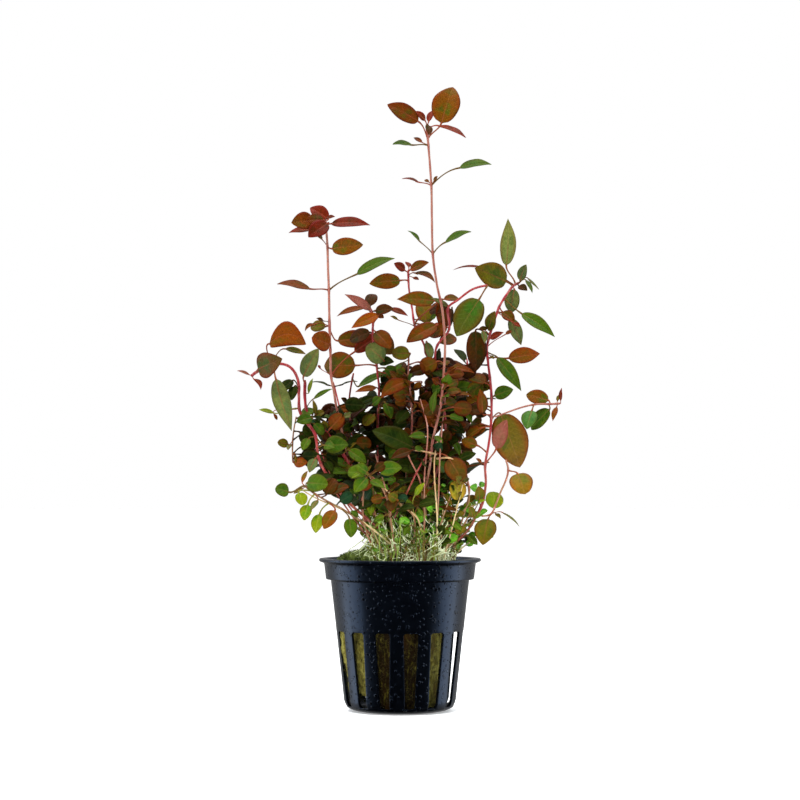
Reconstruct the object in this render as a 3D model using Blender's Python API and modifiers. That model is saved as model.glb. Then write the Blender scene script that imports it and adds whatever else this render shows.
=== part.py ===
"""Super red marsh seedbox growing out of a slotted net pot.

The pot stands on its base with its axis on +Z and the origin at the centre of the base.
Every place is written in millimetres. A plant point is (x, z, toward): where it is seen from the
front against the pot's axis plane, and how far in front of that plane it lies. sight() slides it
along its line of sight, so a depth can change without changing the front view.
"""
import math
from typing import NamedTuple

import bmesh
import bpy
from mathutils import Matrix, Vector

MM = 0.001
OBJECT_NAME = "super_red_marsh_seedbox"

# The front view is taken from this point, on a level with the leaves
VIEW_POINT = Vector((0.0, -900.0, 85.0))

# Net pot
POT_HEIGHT = 52.3
LIP_RADIUS = 27.8
LIP_THICK = 1.1
COLLAR_TOP_RADIUS = 26.1
COLLAR_FOOT_RADIUS = 25.4
COLLAR_FOOT_Z = 45.2
BODY_TOP_RADIUS = 23.8
BODY_FOOT_RADIUS = 19.2
FLOOR_RADIUS = 16.0
CORNER_TOP_Z = 3.5
CORNER_POINTS = ((18.3, 1.6), (16.2, 0.5), (13.4, 0.0))
WALL = 1.0
FLOOR = 1.2
SLOT_COUNT = 14
SLOT_FIRST_TURN = 9.9
SLOT_TOP_Z = 27.7
SLOT_FOOT_Z = 2.1
SLOT_TOP_WIDTH = 5.2
SLOT_FOOT_WIDTH = 3.3
POT_STEPS = 28

# Rockwool plug with its mossy top
PLUG_STEPS = 16
PLUG_FOOT_Z = FLOOR + 0.3
PLUG_SHOULDER_Z = 49.6
PLUG_FOOT_RADIUS = 14.6
PLUG_SHOULDER_RADIUS = 21.9
PLUG_TOP_Z = 51.2
MOSS_PEAK = (-11.5, -5.0, 5.3)
MOSS_SPREAD = (9.5, 10.0)
CROWN_PEAK = (5.0, 0.0, 2.2)
CROWN_SPREAD = (12.0, 12.0)
TOP_RIPPLE = 0.25
PLUG_WAVE = 0.45

# Growth
FIT_GAP = 0.3
PETIOLE_HALF = 0.42
BLADE_THICK = 0.85
BLADE_FOLD = 0.16
BLADE_BOW = 0.05
LEAF_POINTED = 0.8
LEAF_ROUND = 0.72
LEAF_ASPECT = 1.45
TIP_SHARE = 0.8
BIG_LEAF_SHARES = (0.14, 0.42, 0.76)
SMALL_LEAF_SHARES = (0.22, 0.62)
TINY_LEAF_SHARES = (0.4,)
TINY_LEAF_WIDTH = 3.7
STEM_SIDES_LEVEL = 0
FOLD_BACK = -0.97
FOLDED_LEAN = 3.5
FLAT_PAIR = 0.999
STRAIGHT_ENOUGH = 0.3
FOOT_RISE = 0.25
FOLDED_STALK_SHARE = 0.6
LEAST_SLANT = 0.45
FINISH_ROUGHNESS = 0.45

TINTS = {
    "rust": (0.26, 0.055, 0.012),
    "crimson": (0.20, 0.016, 0.010),
    "umber": (0.060, 0.012, 0.005),
    "orange": (0.36, 0.11, 0.015),
    "bronze": (0.22, 0.10, 0.012),
    "olive": (0.14, 0.15, 0.016),
    "grey": (0.15, 0.22, 0.09),
    "green": (0.085, 0.19, 0.025),
    "dark": (0.020, 0.042, 0.008),
    "lime": (0.22, 0.33, 0.02),
    "pink": (0.38, 0.11, 0.08),
    "stem": (0.48, 0.12, 0.09),
    "red stem": (0.45, 0.035, 0.030),
    "pale stem": (0.42, 0.25, 0.11),
}


class Leaf(NamedTuple):
    """A leaf as it is seen from the front, in millimetres and degrees."""

    joint: tuple
    base: tuple
    tip: tuple
    width: float
    roll: float
    lean: float
    tint: str
    name: str = ""
    sweep: float = 0.0


class Pairs(NamedTuple):
    """Opposite leaf pairs up a stem, each pair turned a quarter from the last."""

    low: float
    high: float
    count: int
    size: float
    turn: float
    tint: str


class Stem(NamedTuple):
    """A stem from its foot to its tip, with the leaves that it carries."""

    name: str
    route: tuple
    foot_width: float
    tip_width: float
    tint: str
    leaves: tuple
    pairs: tuple = ()


STEMS = (
    Stem("stem_tall",
         ((3.8, None, 5), (5.3, 58.5, 8), (8.6, 65.3, 12), (8.8, 75, 14), (10.3, 84.5, 15), (11.3, 93, 15),
          (13.4, 101.7, 14), (14.5, 109, 13), (15.2, 118, 11), (15.5, 126, 10), (14.6, 137.5, 9),
          (12.7, 146.6, 9), (11.3, 157, 10), (11.0, 169, 11), (10.8, 180.7, 12), (9.8, 194.5, 13), (9.2, 201, 13)),
         1.7, 1.0, "stem", (
        Leaf((9.7, 196.4), (14.3, 202.3), (18.2, 215.0), 9.8, 12, -2, "bronze", "leaf_top_right"),
        Leaf((9.6, 197.2), (6.2, 202.9), (-4.3, 208.9), 6.2, 20, 3, "rust", "leaf_top_left"),
        Leaf((9.3, 200.4), (13.5, 201.3), (23.0, 197.7), 5.0, 70, 8, "crimson", "leaf_top_falling", 1.2),
        Leaf((9.3, 200.4), (8.6, 203.2), (5.6, 206.5), 2.6, 35, 2, "crimson"),
        Leaf((9.3, 200.4), (9.9, 202.8), (11.6, 207.0), 2.6, 35, -4, "crimson"),
        Leaf((9.3, 200.4), (9.6, 201.6), (10.0, 198.2), 2.8, 30, 7, "umber"),
        Leaf((9.8, 194.5), (4.0, 194.7), (-2.6, 195.2), 3.6, 62, 3, "green"),
        Leaf((10.8, 180.7), (20.6, 186.8), (31.6, 188.4), 5.2, 58, 4, "green", "leaf_high_right"),
        Leaf((10.8, 180.7), (6.2, 181.9), (0.6, 183.3), 3.0, 78, -3, "crimson"),
        Leaf((11.3, 157.0), (15.7, 161.1), (24.5, 165.1), 4.4, 58, 4, "green"),
        Leaf((11.3, 157.0), (6.6, 161.6), (2.7, 165.3), 2.4, 60, -3, "green"),
        Leaf((13.0, 141.3), (15.2, 141.4), (20.8, 141.6), 3.2, 40, -6, "rust"),
        Leaf((13.9, 104.5), (11.2, 102.6), (12.5, 110.2), 3.2, 35, 5, "green"),
        Leaf((11.3, 93.0), (8.6, 94.4), (3.0, 94.2), 2.9, 25, 4, "green"),
        Leaf((11.3, 93.0), (12.0, 94.2), (14.8, 91.9), 2.2, 25, 4, "green"),
        Leaf((10.9, 90.4), (4.3, 90.5), (-9.4, 96.4), 8.0, 20, 2, "dark", "leaf_dark_centre"),
        Leaf((10.8, 89.3), (3.6, 89.2), (-3.2, 86.7), 3.8, 25, 6, "umber"),
        Leaf((10.7, 88.4), (17.0, 86.4), (21.4, 78.9), 7.6, 12, 3, "bronze", "leaf_low_bronze"),
    )),
    Stem("stem_left_tall",
         ((-6.5, None, -2), (-9, 62, -2), (-14, 76, 0), (-18.5, 90, 3), (-21.8, 104, 5), (-22.8, 110, 5),
          (-23.7, 115, 5), (-24, 124, 3), (-24.3, 133.5, 0), (-24.5, 144.5, -5), (-24.8, 152, -8),
          (-25, 159.4, -11), (-25.4, 165, -13), (-25.8, 168.6, -14)),
         1.7, 1.1, "stem", (
        Leaf((-25.6, 167.5), (-29.8, 168.6), (-37.4, 167.9), 6.4, 15, 2, "rust", "leaf_left_top_round"),
        Leaf((-25.5, 166.0), (-30.5, 165.2), (-38.3, 164.9), 2.6, 50, -6, "crimson"),
        Leaf((-25.7, 168.3), (-27.6, 169.4), (-31.0, 172.8), 4.6, 25, -3, "crimson"),
        Leaf((-25.7, 168.3), (-25.8, 170.4), (-22.3, 170.4), 2.6, 35, 3, "umber"),
        Leaf((-25.4, 167.0), (-26.6, 167.2), (-30.3, 163.4), 4.6, 20, 8, "rust"),
        Leaf((-25.4, 166.5), (-23.6, 167.5), (-10.3, 167.4), 5.0, 42, 4, "crimson", "leaf_left_top_red"),
        Leaf((-25.0, 159.4), (-26.9, 162.1), (-29.2, 164.4), 1.8, 40, -3, "bronze"),
        Leaf((-25.0, 159.4), (-23.4, 158.9), (-12.8, 160.3), 6.2, 10, 3, "bronze", "leaf_left_oval"),
        Leaf((-24.5, 144.5), (-31.1, 145.0), (-42.4, 147.1), 5.0, 58, 3, "rust", "leaf_left_wing"),
        Leaf((-24.5, 144.5), (-14.8, 150.1), (-1.9, 156.0), 5.6, 50, 3, "green", "leaf_left_wing_right"),
        Leaf((-24.3, 131.8), (-25.7, 132.0), (-31.0, 131.8), 4.4, 25, -4, "olive"),
        Leaf((-24.3, 132.5), (-29.2, 132.8), (-32.8, 130.4), 1.8, 40, 2, "rust", "", 0.8),
        Leaf((-24.0, 124.3), (-25.8, 124.5), (-28.4, 131.0), 6.2, 15, 3, "orange"),
        Leaf((-24.2, 130.6), (-21.4, 127.1), (-9.4, 127.8), 6.4, 15, -4, "rust", "leaf_brown_broad"),
        Leaf((-23.7, 115.0), (-15.6, 123.3), (-4.8, 130.1), 5.4, 25, -1, "crimson", "leaf_purple_long"),
    )),
    Stem("stem_middle",
         ((1.0, None, -6), (3.0, 62, -6), (7.0, 80, -5), (10.0, 97, -3), (8.6, 105, -2), (9.5, 112, 0),
          (10.2, 119, 1), (8.8, 123, 2), (8.2, 126, 2), (5.2, 132, 0), (4.2, 138, -2), (3.1, 145, -4),
          (2.8, 151.5, -6)),
         1.5, 0.9, "red stem", (
        Leaf((2.8, 150.6), (1.6, 151.4), (-2.0, 153.9), 3.2, 25, 2, "crimson"),
        Leaf((2.8, 150.6), (3.6, 151.6), (9.8, 154.3), 3.6, 30, 3, "rust"),
        Leaf((2.8, 149.8), (5.0, 150.5), (12.1, 147.3), 2.6, 40, 5, "rust", "", -1.2),
        Leaf((2.8, 150.6), (3.0, 152.6), (2.4, 154.4), 2.4, 40, -4, "crimson"),
        Leaf((2.9, 148.0), (0.0, 147.9), (-10.5, 146.9), 5.6, 12, 3, "bronze", "leaf_middle_oval"),
        Leaf((4.8, 134.2), (10.6, 134.6), (12.6, 136.2), 2.0, 30, 4, "green"),
        Leaf((5.2, 132.6), (11.8, 140.9), (-1.0, 141.6), 5.6, 18, 9, "bronze", "leaf_middle_broad"),
        Leaf((4.9, 132.6), (7.9, 134.0), (7.2, 139.8), 5.4, 25, -7, "olive"),
        Leaf((5.2, 132.0), (12.6, 132.4), (2.2, 126.8), 6.2, 25, 8, "rust", "leaf_middle_pointed"),
        Leaf((8.8, 123.0), (9.2, 126.6), (10.6, 120.0), 3.4, 30, 4, "grey"),
        Leaf((10.2, 119.0), (9.3, 117.6), (2.8, 115.6), 4.4, 25, 3, "umber"),
        Leaf((10.1, 118.0), (13.6, 123.8), (12.8, 119.4), 2.8, 30, -4, "dark"),
        Leaf((9.6, 113.0), (12.2, 118.0), (11.6, 108.4), 4.6, 30, -6, "bronze"),
        Leaf((9.3, 110.5), (7.2, 111.4), (7.6, 104.6), 2.6, 30, 2, "umber"),
    )),
    Stem("stem_middle_left",
         ((-2.5, None, -1), (-4.5, 62, -2), (-7.5, 82, -4), (-7.6, 100, -2), (-7.2, 110, 0), (-7.8, 116, 3),
          (-8.1, 119, 5), (-9.1, 126, 9), (-9.4, 130.5, 11), (-9.3, 134, 12), (-10, 138.2, 14)),
         1.5, 0.9, "red stem", (
        Leaf((-9.9, 137.4), (-10.9, 138.6), (-18.6, 142.6), 2.9, 20, 5, "pink"),
        Leaf((-9.9, 137.6), (-10.3, 139.4), (-9.3, 142.9), 3.6, 25, -3, "umber"),
        Leaf((-9.7, 136.6), (-13.0, 138.3), (-22.0, 136.0), 2.2, 60, -3, "rust"),
        Leaf((-9.7, 136.8), (-8.4, 137.4), (-2.3, 138.2), 3.8, 20, 4, "umber"),
        Leaf((-9.6, 135.6), (-7.5, 135.8), (-5.6, 135.0), 2.0, 30, 3, "rust"),
        Leaf((-9.4, 133.0), (-7.4, 136.0), (-16.8, 131.6), 4.2, 20, 5, "orange"),
        Leaf((-9.4, 131.2), (-8.4, 130.2), (-3.2, 124.6), 5.8, 15, 5, "orange", "leaf_orange_centre"),
        Leaf((-8.1, 119.4), (-5.6, 120.4), (-10.4, 125.4), 6.8, 15, 4, "grey"),
        Leaf((-8.1, 118.9), (-7.0, 119.9), (-2.2, 119.9), 3.6, 20, 6, "dark"),
        Leaf((-8.1, 118.6), (-15.4, 118.6), (-26.4, 118.5), 9.4, 8, -8, "bronze", "leaf_bronze_round"),
        Leaf((-7.3, 109.0), (-8.2, 111.0), (-15.4, 109.6), 2.6, 30, 5, "orange"),
        Leaf((-7.2, 107.0), (-9.4, 105.2), (-6.6, 107.6), 3.4, 25, 6, "green"),
        Leaf((-7.6, 103.0), (-9.0, 107.6), (-14.4, 105.2), 3.4, 35, 5, "dark"),
        Leaf((-7.6, 101.0), (-5.0, 105.6), (-3.0, 100.4), 3.6, 20, 9, "green"),
        Leaf((-7.6, 97.0), (-9.0, 101.5), (-12.4, 98.0), 4.4, 25, 6, "olive"),
    )),
    Stem("stem_short_pink",
         ((-1.0, None, 3), (-0.3, 60, 3), (0.8, 70, 3), (2.4, 83, 4), (3.9, 95, 5), (4.1, 103, 6), (3.5, 110, 7),
          (2.9, 115.5, 7), (3.0, 121.4, 7)),
         1.3, 0.8, "stem", (
        Leaf((3.0, 121.0), (3.2, 122.8), (-2.8, 122.6), 5.0, 12, 4, "olive"),
        Leaf((3.0, 120.6), (0.2, 119.0), (-1.2, 117.2), 2.0, 30, 4, "green"),
        Leaf((3.0, 118.0), (1.2, 114.8), (-2.6, 117.4), 3.6, 25, -3, "umber"),
        Leaf((3.4, 111.6), (2.8, 113.0), (-6.8, 107.4), 5.4, 20, 6, "rust", "", -1.0),
        Leaf((3.3, 112.6), (7.4, 112.6), (4.6, 110.0), 2.6, 25, -3, "bronze"),
        Leaf((3.9, 105.0), (3.0, 106.4), (-3.8, 103.6), 5.6, 25, -7, "umber"),
        Leaf((4.1, 102.0), (2.6, 103.0), (-1.2, 98.8), 4.6, 25, 4, "dark"),
        Leaf((4.0, 97.0), (6.4, 97.4), (10.6, 101.4), 4.4, 25, -3, "umber"),
    )),
    Stem("stem_short_left",
         ((-9.0, None, -9), (-11, 70, -9), (-15, 88, -8), (-17.4, 101, -7), (-17.4, 107.5, -6), (-16.6, 113, -5),
          (-16.0, 116.0, -5)),
         1.3, 0.8, "red stem", (
        Leaf((-16.4, 114.0), (-14.2, 111.4), (-3.0, 116.2), 4.4, 55, 4, "green"),
        Leaf((-17.4, 105.5), (-18.2, 105.8), (-20.2, 107.4), 2.0, 30, 3, "umber"),
        Leaf((-17.4, 105.0), (-16.2, 105.6), (-13.6, 106.2), 2.0, 30, -3, "bronze"),
        Leaf((-17.4, 103.0), (-14.0, 102.6), (-20.8, 100.2), 3.0, 30, 7, "grey"),
        Leaf((-17.0, 99.0), (-19.0, 102.6), (-27.6, 100.8), 4.6, 35, 2, "dark"),
        Leaf((-15.8, 92.0), (-13.0, 95.0), (-6.4, 98.6), 5.0, 30, -4, "dark"),
        Leaf((-15.4, 90.0), (-19.6, 96.0), (-26.0, 97.4), 4.4, 35, -4, "umber"),
    )),
    Stem("stem_red_arch",
         ((7.0, None, -1), (9.0, 66, -1), (12.6, 82, 0), (15.6, 95, 2), (14.6, 108, 3), (12.2, 120, 4),
          (12.9, 125.6, 4), (16.9, 131, 4), (16.5, 138.2, 5), (20, 141.2, 9), (24, 144.3, 14), (27, 145.6, 18),
          (30.2, 146.2, 21)),
         1.5, 1.0, "red stem", (
        Leaf((30.0, 146.2), (27.2, 141.3), (19.4, 128.8), 9.6, 10, 3, "dark", "leaf_arch_green"),
        Leaf((16.6, 137.6), (16.3, 139.0), (10.8, 142.0), 1.9, 30, 3, "grey"),
        Leaf((16.6, 136.8), (14.4, 140.0), (14.6, 132.6), 4.4, 25, -4, "rust"),
        Leaf((16.8, 133.0), (17.9, 138.2), (17.4, 132.0), 2.8, 30, -7, "umber"),
        Leaf((13.0, 117.0), (17.4, 117.8), (25.8, 116.2), 3.2, 45, 3, "rust"),
        Leaf((13.8, 112.6), (16.6, 113.2), (26.2, 116.0), 3.8, 30, -3, "rust"),
        Leaf((14.3, 109.4), (18.6, 110.6), (25.4, 111.4), 4.6, 20, 4, "green"),
        Leaf((14.9, 104.8), (16.4, 104.2), (18.6, 110.0), 4.4, 25, -2, "green"),
        Leaf((15.4, 98.0), (17.0, 98.2), (22.0, 95.4), 4.4, 25, 3, "dark"),
        Leaf((15.6, 95.0), (21.8, 104.2), (24.8, 98.6), 2.8, 25, 7, "green"),
        Leaf((15.0, 91.6), (18.6, 92.6), (20.6, 87.6), 2.8, 25, 5, "green"),
    )),
    Stem("stem_right",
         ((13.4, None, 6), (17.6, 56.4, 7), (22.4, 60.8, 8), (25.6, 65.6, 9), (28.4, 71.4, 10), (29.5, 78, 10),
          (29.3, 84.3, 11), (30.6, 92, 11), (31.4, 100, 9), (31.4, 110, 7), (30.3, 120, 5), (30.1, 126, 3),
          (33.5, 137, -2), (35, 140.3, -4), (38.6, 145.6, -7), (41.2, 147.2, -9)),
         1.7, 1.0, "red stem", (
        Leaf((40.0, 146.5), (36.6, 153.2), (37.4, 169.3), 5.8, 15, 3, "green", "leaf_upright_green"),
        Leaf((39.2, 146.0), (36.6, 147.5), (26.0, 152.2), 9.0, 12, 6, "olive", "leaf_olive_big"),
        Leaf((39.6, 146.3), (29.5, 152.1), (18.2, 152.0), 2.6, 75, -3, "crimson"),
        Leaf((41.0, 147.2), (41.4, 148.0), (43.4, 153.4), 3.6, 20, 3, "grey"),
        Leaf((41.0, 147.2), (43.9, 148.8), (48.1, 144.9), 1.7, 60, 2, "grey", "", 1.0),
        Leaf((40.2, 146.6), (43.4, 148.0), (45.7, 143.7), 1.9, 35, 6, "green"),
        Leaf((40.6, 146.8), (41.0, 146.0), (43.8, 144.5), 2.8, 25, 4, "umber"),
        Leaf((38.6, 145.6), (39.4, 144.8), (38.1, 136.6), 5.6, 15, -4, "grey"),
        Leaf((36.2, 142.0), (42.0, 136.4), (53.4, 128.7), 4.8, 25, 7, "green", "leaf_right_pointed"),
        Leaf((34.2, 138.6), (35.4, 137.0), (39.5, 133.7), 4.0, 20, 3, "rust"),
        Leaf((33.6, 137.3), (37.9, 134.8), (41.9, 125.5), 4.6, 15, -3, "grey"),
        Leaf((33.6, 137.2), (39.4, 133.2), (41.4, 132.0), 1.7, 25, 4, "crimson"),
        Leaf((31.2, 130.0), (30.5, 130.9), (32.6, 137.2), 4.2, 20, 6, "olive"),
        Leaf((31.2, 130.0), (30.0, 131.4), (27.0, 131.2), 1.7, 25, 4, "umber"),
        Leaf((30.8, 128.4), (28.6, 130.6), (29.2, 126.1), 2.4, 25, 4, "grey"),
        Leaf((30.4, 127.0), (31.2, 127.9), (35.6, 130.1), 2.6, 25, 4, "crimson"),
        Leaf((30.9, 129.2), (26.0, 130.4), (26.1, 116.5), 7.4, 15, 3, "umber", "leaf_umber_hanging"),
        Leaf((30.3, 121.2), (37.4, 121.1), (48.4, 122.8), 5.8, 12, -5, "orange", "leaf_right_oval"),
        Leaf((30.2, 123.0), (33.6, 121.2), (41.8, 110.0), 5.0, 15, 6, "green", "leaf_right_slant"),
        Leaf((30.8, 114.6), (30.0, 113.4), (28.6, 116.3), 2.5, 20, -4, "umber"),
        Leaf((31.2, 108.0), (30.8, 110.6), (27.0, 111.8), 4.0, 20, -4, "olive"),
        Leaf((31.4, 106.8), (32.6, 108.2), (38.9, 110.4), 4.8, 15, 3, "green"),
        Leaf((31.4, 101.4), (28.4, 102.2), (27.6, 110.6), 4.2, 20, 3, "rust"),
        Leaf((31.4, 100.6), (34.6, 101.8), (41.4, 83.4), 12.2, 8, -5, "olive", "leaf_red_edged"),
        Leaf((31.4, 100.6), (29.8, 101.6), (26.0, 101.4), 2.6, 25, -3, "umber"),
        Leaf((31.2, 98.0), (29.4, 97.6), (24.0, 94.6), 4.2, 25, -3, "bronze"),
        Leaf((29.3, 84.3), (33.2, 90.2), (36.6, 99.9), 5.4, 15, 6, "pink", "leaf_pink_under"),
        Leaf((29.3, 84.0), (24.0, 84.0), (18.0, 84.0), 4.0, 25, -7, "umber"),
        Leaf((28.4, 71.6), (27.4, 72.4), (27.0, 77.0), 4.0, 20, 3, "olive"),
        Leaf((27.6, 69.6), (25.9, 73.6), (23.0, 71.8), 2.4, 20, -5, "bronze"),
        Leaf((27.0, 68.6), (25.0, 66.6), (24.0, 70.2), 2.8, 25, 5, "olive"),
        Leaf((21.4, 59.8), (23.4, 59.8), (26.6, 57.0), 2.8, 20, 4, "green"),
    )),
    Stem("branch_low_right",
         ((28.1, 66.7, 13), (31.2, 67.4, 14), (32.8, 70.4, 13), (34.6, 75, 14), (36.6, 79.6, 14), (37.2, 83, 14),
          (36.4, 86.2, 14)),
         1.2, 0.9, "stem", (
        Leaf((37.2, 82.6), (40.4, 81.3), (43.0, 74.5), 8.0, 12, 3, "orange", "leaf_low_right_round"),
        Leaf((32.6, 69.8), (32.4, 69.4), (32.2, 75.3), 6.3, 15, -5, "lime"),
        Leaf((31.2, 67.4), (30.3, 65.7), (28.4, 57.0), 7.6, 10, 3, "olive", "leaf_low_right_olive"),
        Leaf((31.6, 67.8), (35.4, 67.9), (41.3, 63.4), 1.8, 65, 3, "grey", "", 0.6),
    )),
    Stem("branch_far_right",
         ((32.8, 100.9, 12), (36.8, 102.4, 14), (42, 104.2, 14), (46.8, 105.2, 13), (51.8, 105.3, 12),
          (55.2, 105.5, 12)),
         1.1, 0.9, "stem", (
        Leaf((51.8, 105.3), (51.0, 106.6), (43.3, 108.7), 5.2, 15, -4, "bronze", "leaf_far_bronze"),
        Leaf((46.4, 105.1), (45.4, 103.0), (43.6, 96.8), 5.6, 15, 5, "grey", "leaf_far_heart_left"),
        Leaf((51.4, 105.3), (51.4, 103.4), (45.0, 96.4), 5.4, 20, -4, "green"),
        Leaf((55.0, 105.5), (55.3, 106.6), (55.6, 110.9), 1.5, 30, 2, "crimson"),
        Leaf((54.4, 105.4), (53.9, 104.2), (52.5, 99.5), 2.1, 20, 3, "orange"),
    )),
    Stem("stem_left_arch",
         ((-2.0, None, 9), (-6.0, 61, 11), (-12, 66.4, 13), (-18.6, 72.4, 14), (-24.8, 80.6, 15), (-28, 86.8, 15),
          (-29.3, 95, 14), (-34.2, 102, 14), (-34.8, 108, 16), (-35, 113, 18), (-36.8, 117, 20), (-40, 119, 21),
          (-45, 118.8, 21), (-49.6, 116.2, 22), (-51.2, 114.9, 23)),
         2.0, 1.2, "red stem", (
        Leaf((-45.0, 118.8), (-44.9, 126.1), (-32.4, 126.0), 8.6, 12, 3, "orange", "leaf_dome", -3.2),
        Leaf((-44.8, 118.8), (-39.4, 124.3), (-32.2, 122.6), 2.5, 35, -5, "olive"),
        Leaf((-49.6, 116.2), (-48.8, 117.3), (-41.0, 120.8), 8.6, 10, 12, "olive", "leaf_left_round"),
        Leaf((-51.0, 115.0), (-51.9, 115.4), (-56.3, 116.9), 1.3, 40, 2, "pink"),
        Leaf((-50.9, 115.1), (-50.3, 113.9), (-47.9, 110.3), 1.9, 25, 3, "crimson", "", -0.8),
        Leaf((-43.0, 118.9), (-42.7, 113.8), (-37.1, 96.2), 6.2, 15, 5, "grey", "leaf_left_long", 0.8),
        Leaf((-34.9, 111.0), (-37.0, 113.4), (-41.4, 109.6), 3.6, 20, 4, "dark"),
        Leaf((-34.9, 110.0), (-36.2, 111.4), (-37.4, 106.6), 3.4, 20, 4, "dark"),
        Leaf((-34.4, 104.0), (-43.6, 102.2), (-48.7, 103.5), 1.8, 35, -4, "lime"),
        Leaf((-31.6, 98.0), (-30.4, 100.6), (-35.6, 99.2), 4.2, 20, 5, "green"),
        Leaf((-29.2, 94.4), (-31.4, 93.4), (-33.6, 89.4), 3.4, 20, 4, "green"),
        Leaf((-29.2, 94.0), (-25.6, 91.0), (-17.8, 91.4), 6.2, 12, 5, "green"),
        Leaf((-28.0, 86.8), (-29.2, 86.5), (-31.2, 81.9), 3.5, 15, 4, "grey"),
        Leaf((-27.2, 85.2), (-25.4, 86.2), (-21.3, 80.5), 4.4, 20, -4, "dark"),
    )),
    Stem("stem_left_red",
         ((-4.5, None, 4), (-6.2, 60, 4), (-12.3, 66, 5), (-13.4, 76, 6), (-19.5, 88, 7), (-26, 96.2, 8),
          (-31.4, 101.2, 9), (-32.7, 107, 9), (-32.7, 113.6, 9)),
         1.9, 1.3, "red stem", (
        Leaf((-32.7, 112.0), (-33.2, 114.9), (-28.2, 124.4), 5.8, 15, 4, "grey"),
        Leaf((-32.0, 104.0), (-29.6, 107.2), (-23.3, 110.7), 1.9, 35, 3, "green"),
        Leaf((-31.2, 101.0), (-29.0, 101.6), (-30.0, 107.0), 1.9, 30, 3, "olive"),
        Leaf((-19.5, 88.0), (-17.4, 89.4), (-11.6, 85.1), 4.4, 15, 4, "green"),
        Leaf((-18.0, 86.0), (-19.4, 84.6), (-16.4, 80.6), 3.4, 20, 3, "olive"),
        Leaf((-12.5, 70.0), (-9.4, 72.0), (-10.2, 67.0), 3.1, 15, 4, "lime"),
    )),
    Stem("shoot_hanging_left",
         ((-35.7, 101.0, 12), (-36.6, 96, 12), (-37, 90.5, 12), (-36.8, 85, 12)),
         0.9, 0.7, "pale stem", (
        Leaf((-37.0, 91.5), (-38.5, 91.4), (-42.1, 92.2), 3.2, 15, 2, "olive"),
        Leaf((-37.0, 92.5), (-37.8, 91.4), (-38.6, 89.6), 1.8, 25, 5, "grey"),
        Leaf((-36.8, 85.4), (-36.2, 85.0), (-31.8, 85.2), 3.7, 15, 2, "orange"),
    )),
    Stem("stem_left_pale",
         ((-4.8, None, 14), (-9.0, 61.0, 17), (-13, 64.6, 19), (-20, 69.3, 21), (-24.2, 71.4, 22), (-29.2, 74.4, 22),
          (-32.8, 77.2, 22)),
         1.2, 0.8, "pale stem", (
        Leaf((-32.8, 76.6), (-31.9, 78.2), (-25.0, 77.7), 6.4, 12, 5, "green", "leaf_low_left_round"),
        Leaf((-32.8, 77.2), (-38.3, 75.0), (-42.9, 76.2), 4.8, 20, 2, "green"),
        Leaf((-32.6, 77.0), (-33.6, 78.4), (-31.8, 82.5), 1.8, 35, -3, "bronze"),
        Leaf((-32.4, 76.8), (-33.4, 76.3), (-36.8, 74.5), 1.7, 30, -4, "olive"),
        Leaf((-30.8, 75.5), (-34.8, 74.7), (-33.2, 70.6), 4.2, 15, 3, "lime"),
        Leaf((-29.2, 74.4), (-31.7, 70.6), (-33.0, 65.3), 4.2, 15, 3, "lime"),
        Leaf((-29.2, 74.4), (-28.3, 72.2), (-30.8, 68.6), 2.2, 30, 5, "grey"),
        Leaf((-24.4, 71.5), (-27.7, 67.3), (-29.1, 61.0), 4.2, 15, 3, "lime"),
        Leaf((-24.2, 71.4), (-22.4, 68.6), (-26.2, 62.4), 4.8, 15, 4, "bronze"),
        Leaf((-20.0, 69.3), (-17.4, 65.8), (-16.8, 59.4), 4.8, 15, 3, "green"),
        Leaf((-13.4, 64.9), (-14.4, 66.8), (-17.0, 68.4), 2.2, 25, 3, "green"),
    )),
    Stem("stem_short_front",
         ((-0.8, None, 15), (-2.8, 63, 18), (-3.6, 70, 20), (-6.4, 77, 22), (-10.6, 80.8, 23)),
         1.2, 0.9, "stem", (
        Leaf((-10.4, 80.7), (-7.0, 82.6), (0.6, 83.5), 5.3, 15, 4, "green"),
        Leaf((-10.4, 80.7), (-11.6, 79.8), (-15.6, 75.0), 4.8, 20, 3, "green"),
        Leaf((-9.6, 80.0), (-10.0, 79.0), (-5.2, 76.4), 3.2, 25, 6, "green"),
        Leaf((-3.4, 68.4), (-5.6, 66.8), (-8.8, 65.0), 2.6, 25, 3, "green"),
    )),
    Stem("stem_slanting",
         ((4.0, None, 13), (5.0, 65.5, 17), (0.0, 70.6, 21), (-3.9, 75.4, 16)),
         1.0, 0.7, "pale stem", (
        Leaf((5.0, 65.5), (5.2, 74.0), (8.5, 78.4), 2.4, 20, 4, "lime"),
        Leaf((5.0, 65.5), (6.2, 69.4), (8.0, 66.2), 1.8, 25, 3, "green"),
        Leaf((4.6, 62.0), (3.4, 63.4), (1.2, 60.0), 2.4, 25, 3, "green"),
        Leaf((2.6, 68.0), (2.8, 72.4), (7.4, 71.2), 3.8, 20, -2, "umber"),
    )),
    Stem("stem_short_right",
         ((10.6, None, 11), (13.2, 60, 12), (18.5, 65, 13), (21.4, 68, 13), (23.7, 72, 13), (23.2, 79.6, 12)),
         1.1, 0.7, "pale stem", (
        Leaf((23.4, 77.6), (19.6, 79.2), (19.8, 72.2), 6.0, 15, 4, "orange"),
        Leaf((23.2, 79.4), (20.4, 86.4), (26.1, 88.4), 3.4, 20, 2, "dark"),
        Leaf((20.6, 67.2), (14.2, 70.0), (20.3, 68.4), 1.9, 30, 4, "umber"),
        Leaf((18.0, 64.6), (14.8, 74.4), (18.2, 70.2), 1.8, 30, 3, "olive"),
        Leaf((15.0, 61.8), (17.6, 65.0), (21.2, 61.8), 2.8, 25, 4, "green"),
        Leaf((13.6, 60.4), (13.2, 61.4), (18.2, 60.8), 2.2, 25, 5, "green"),
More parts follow.
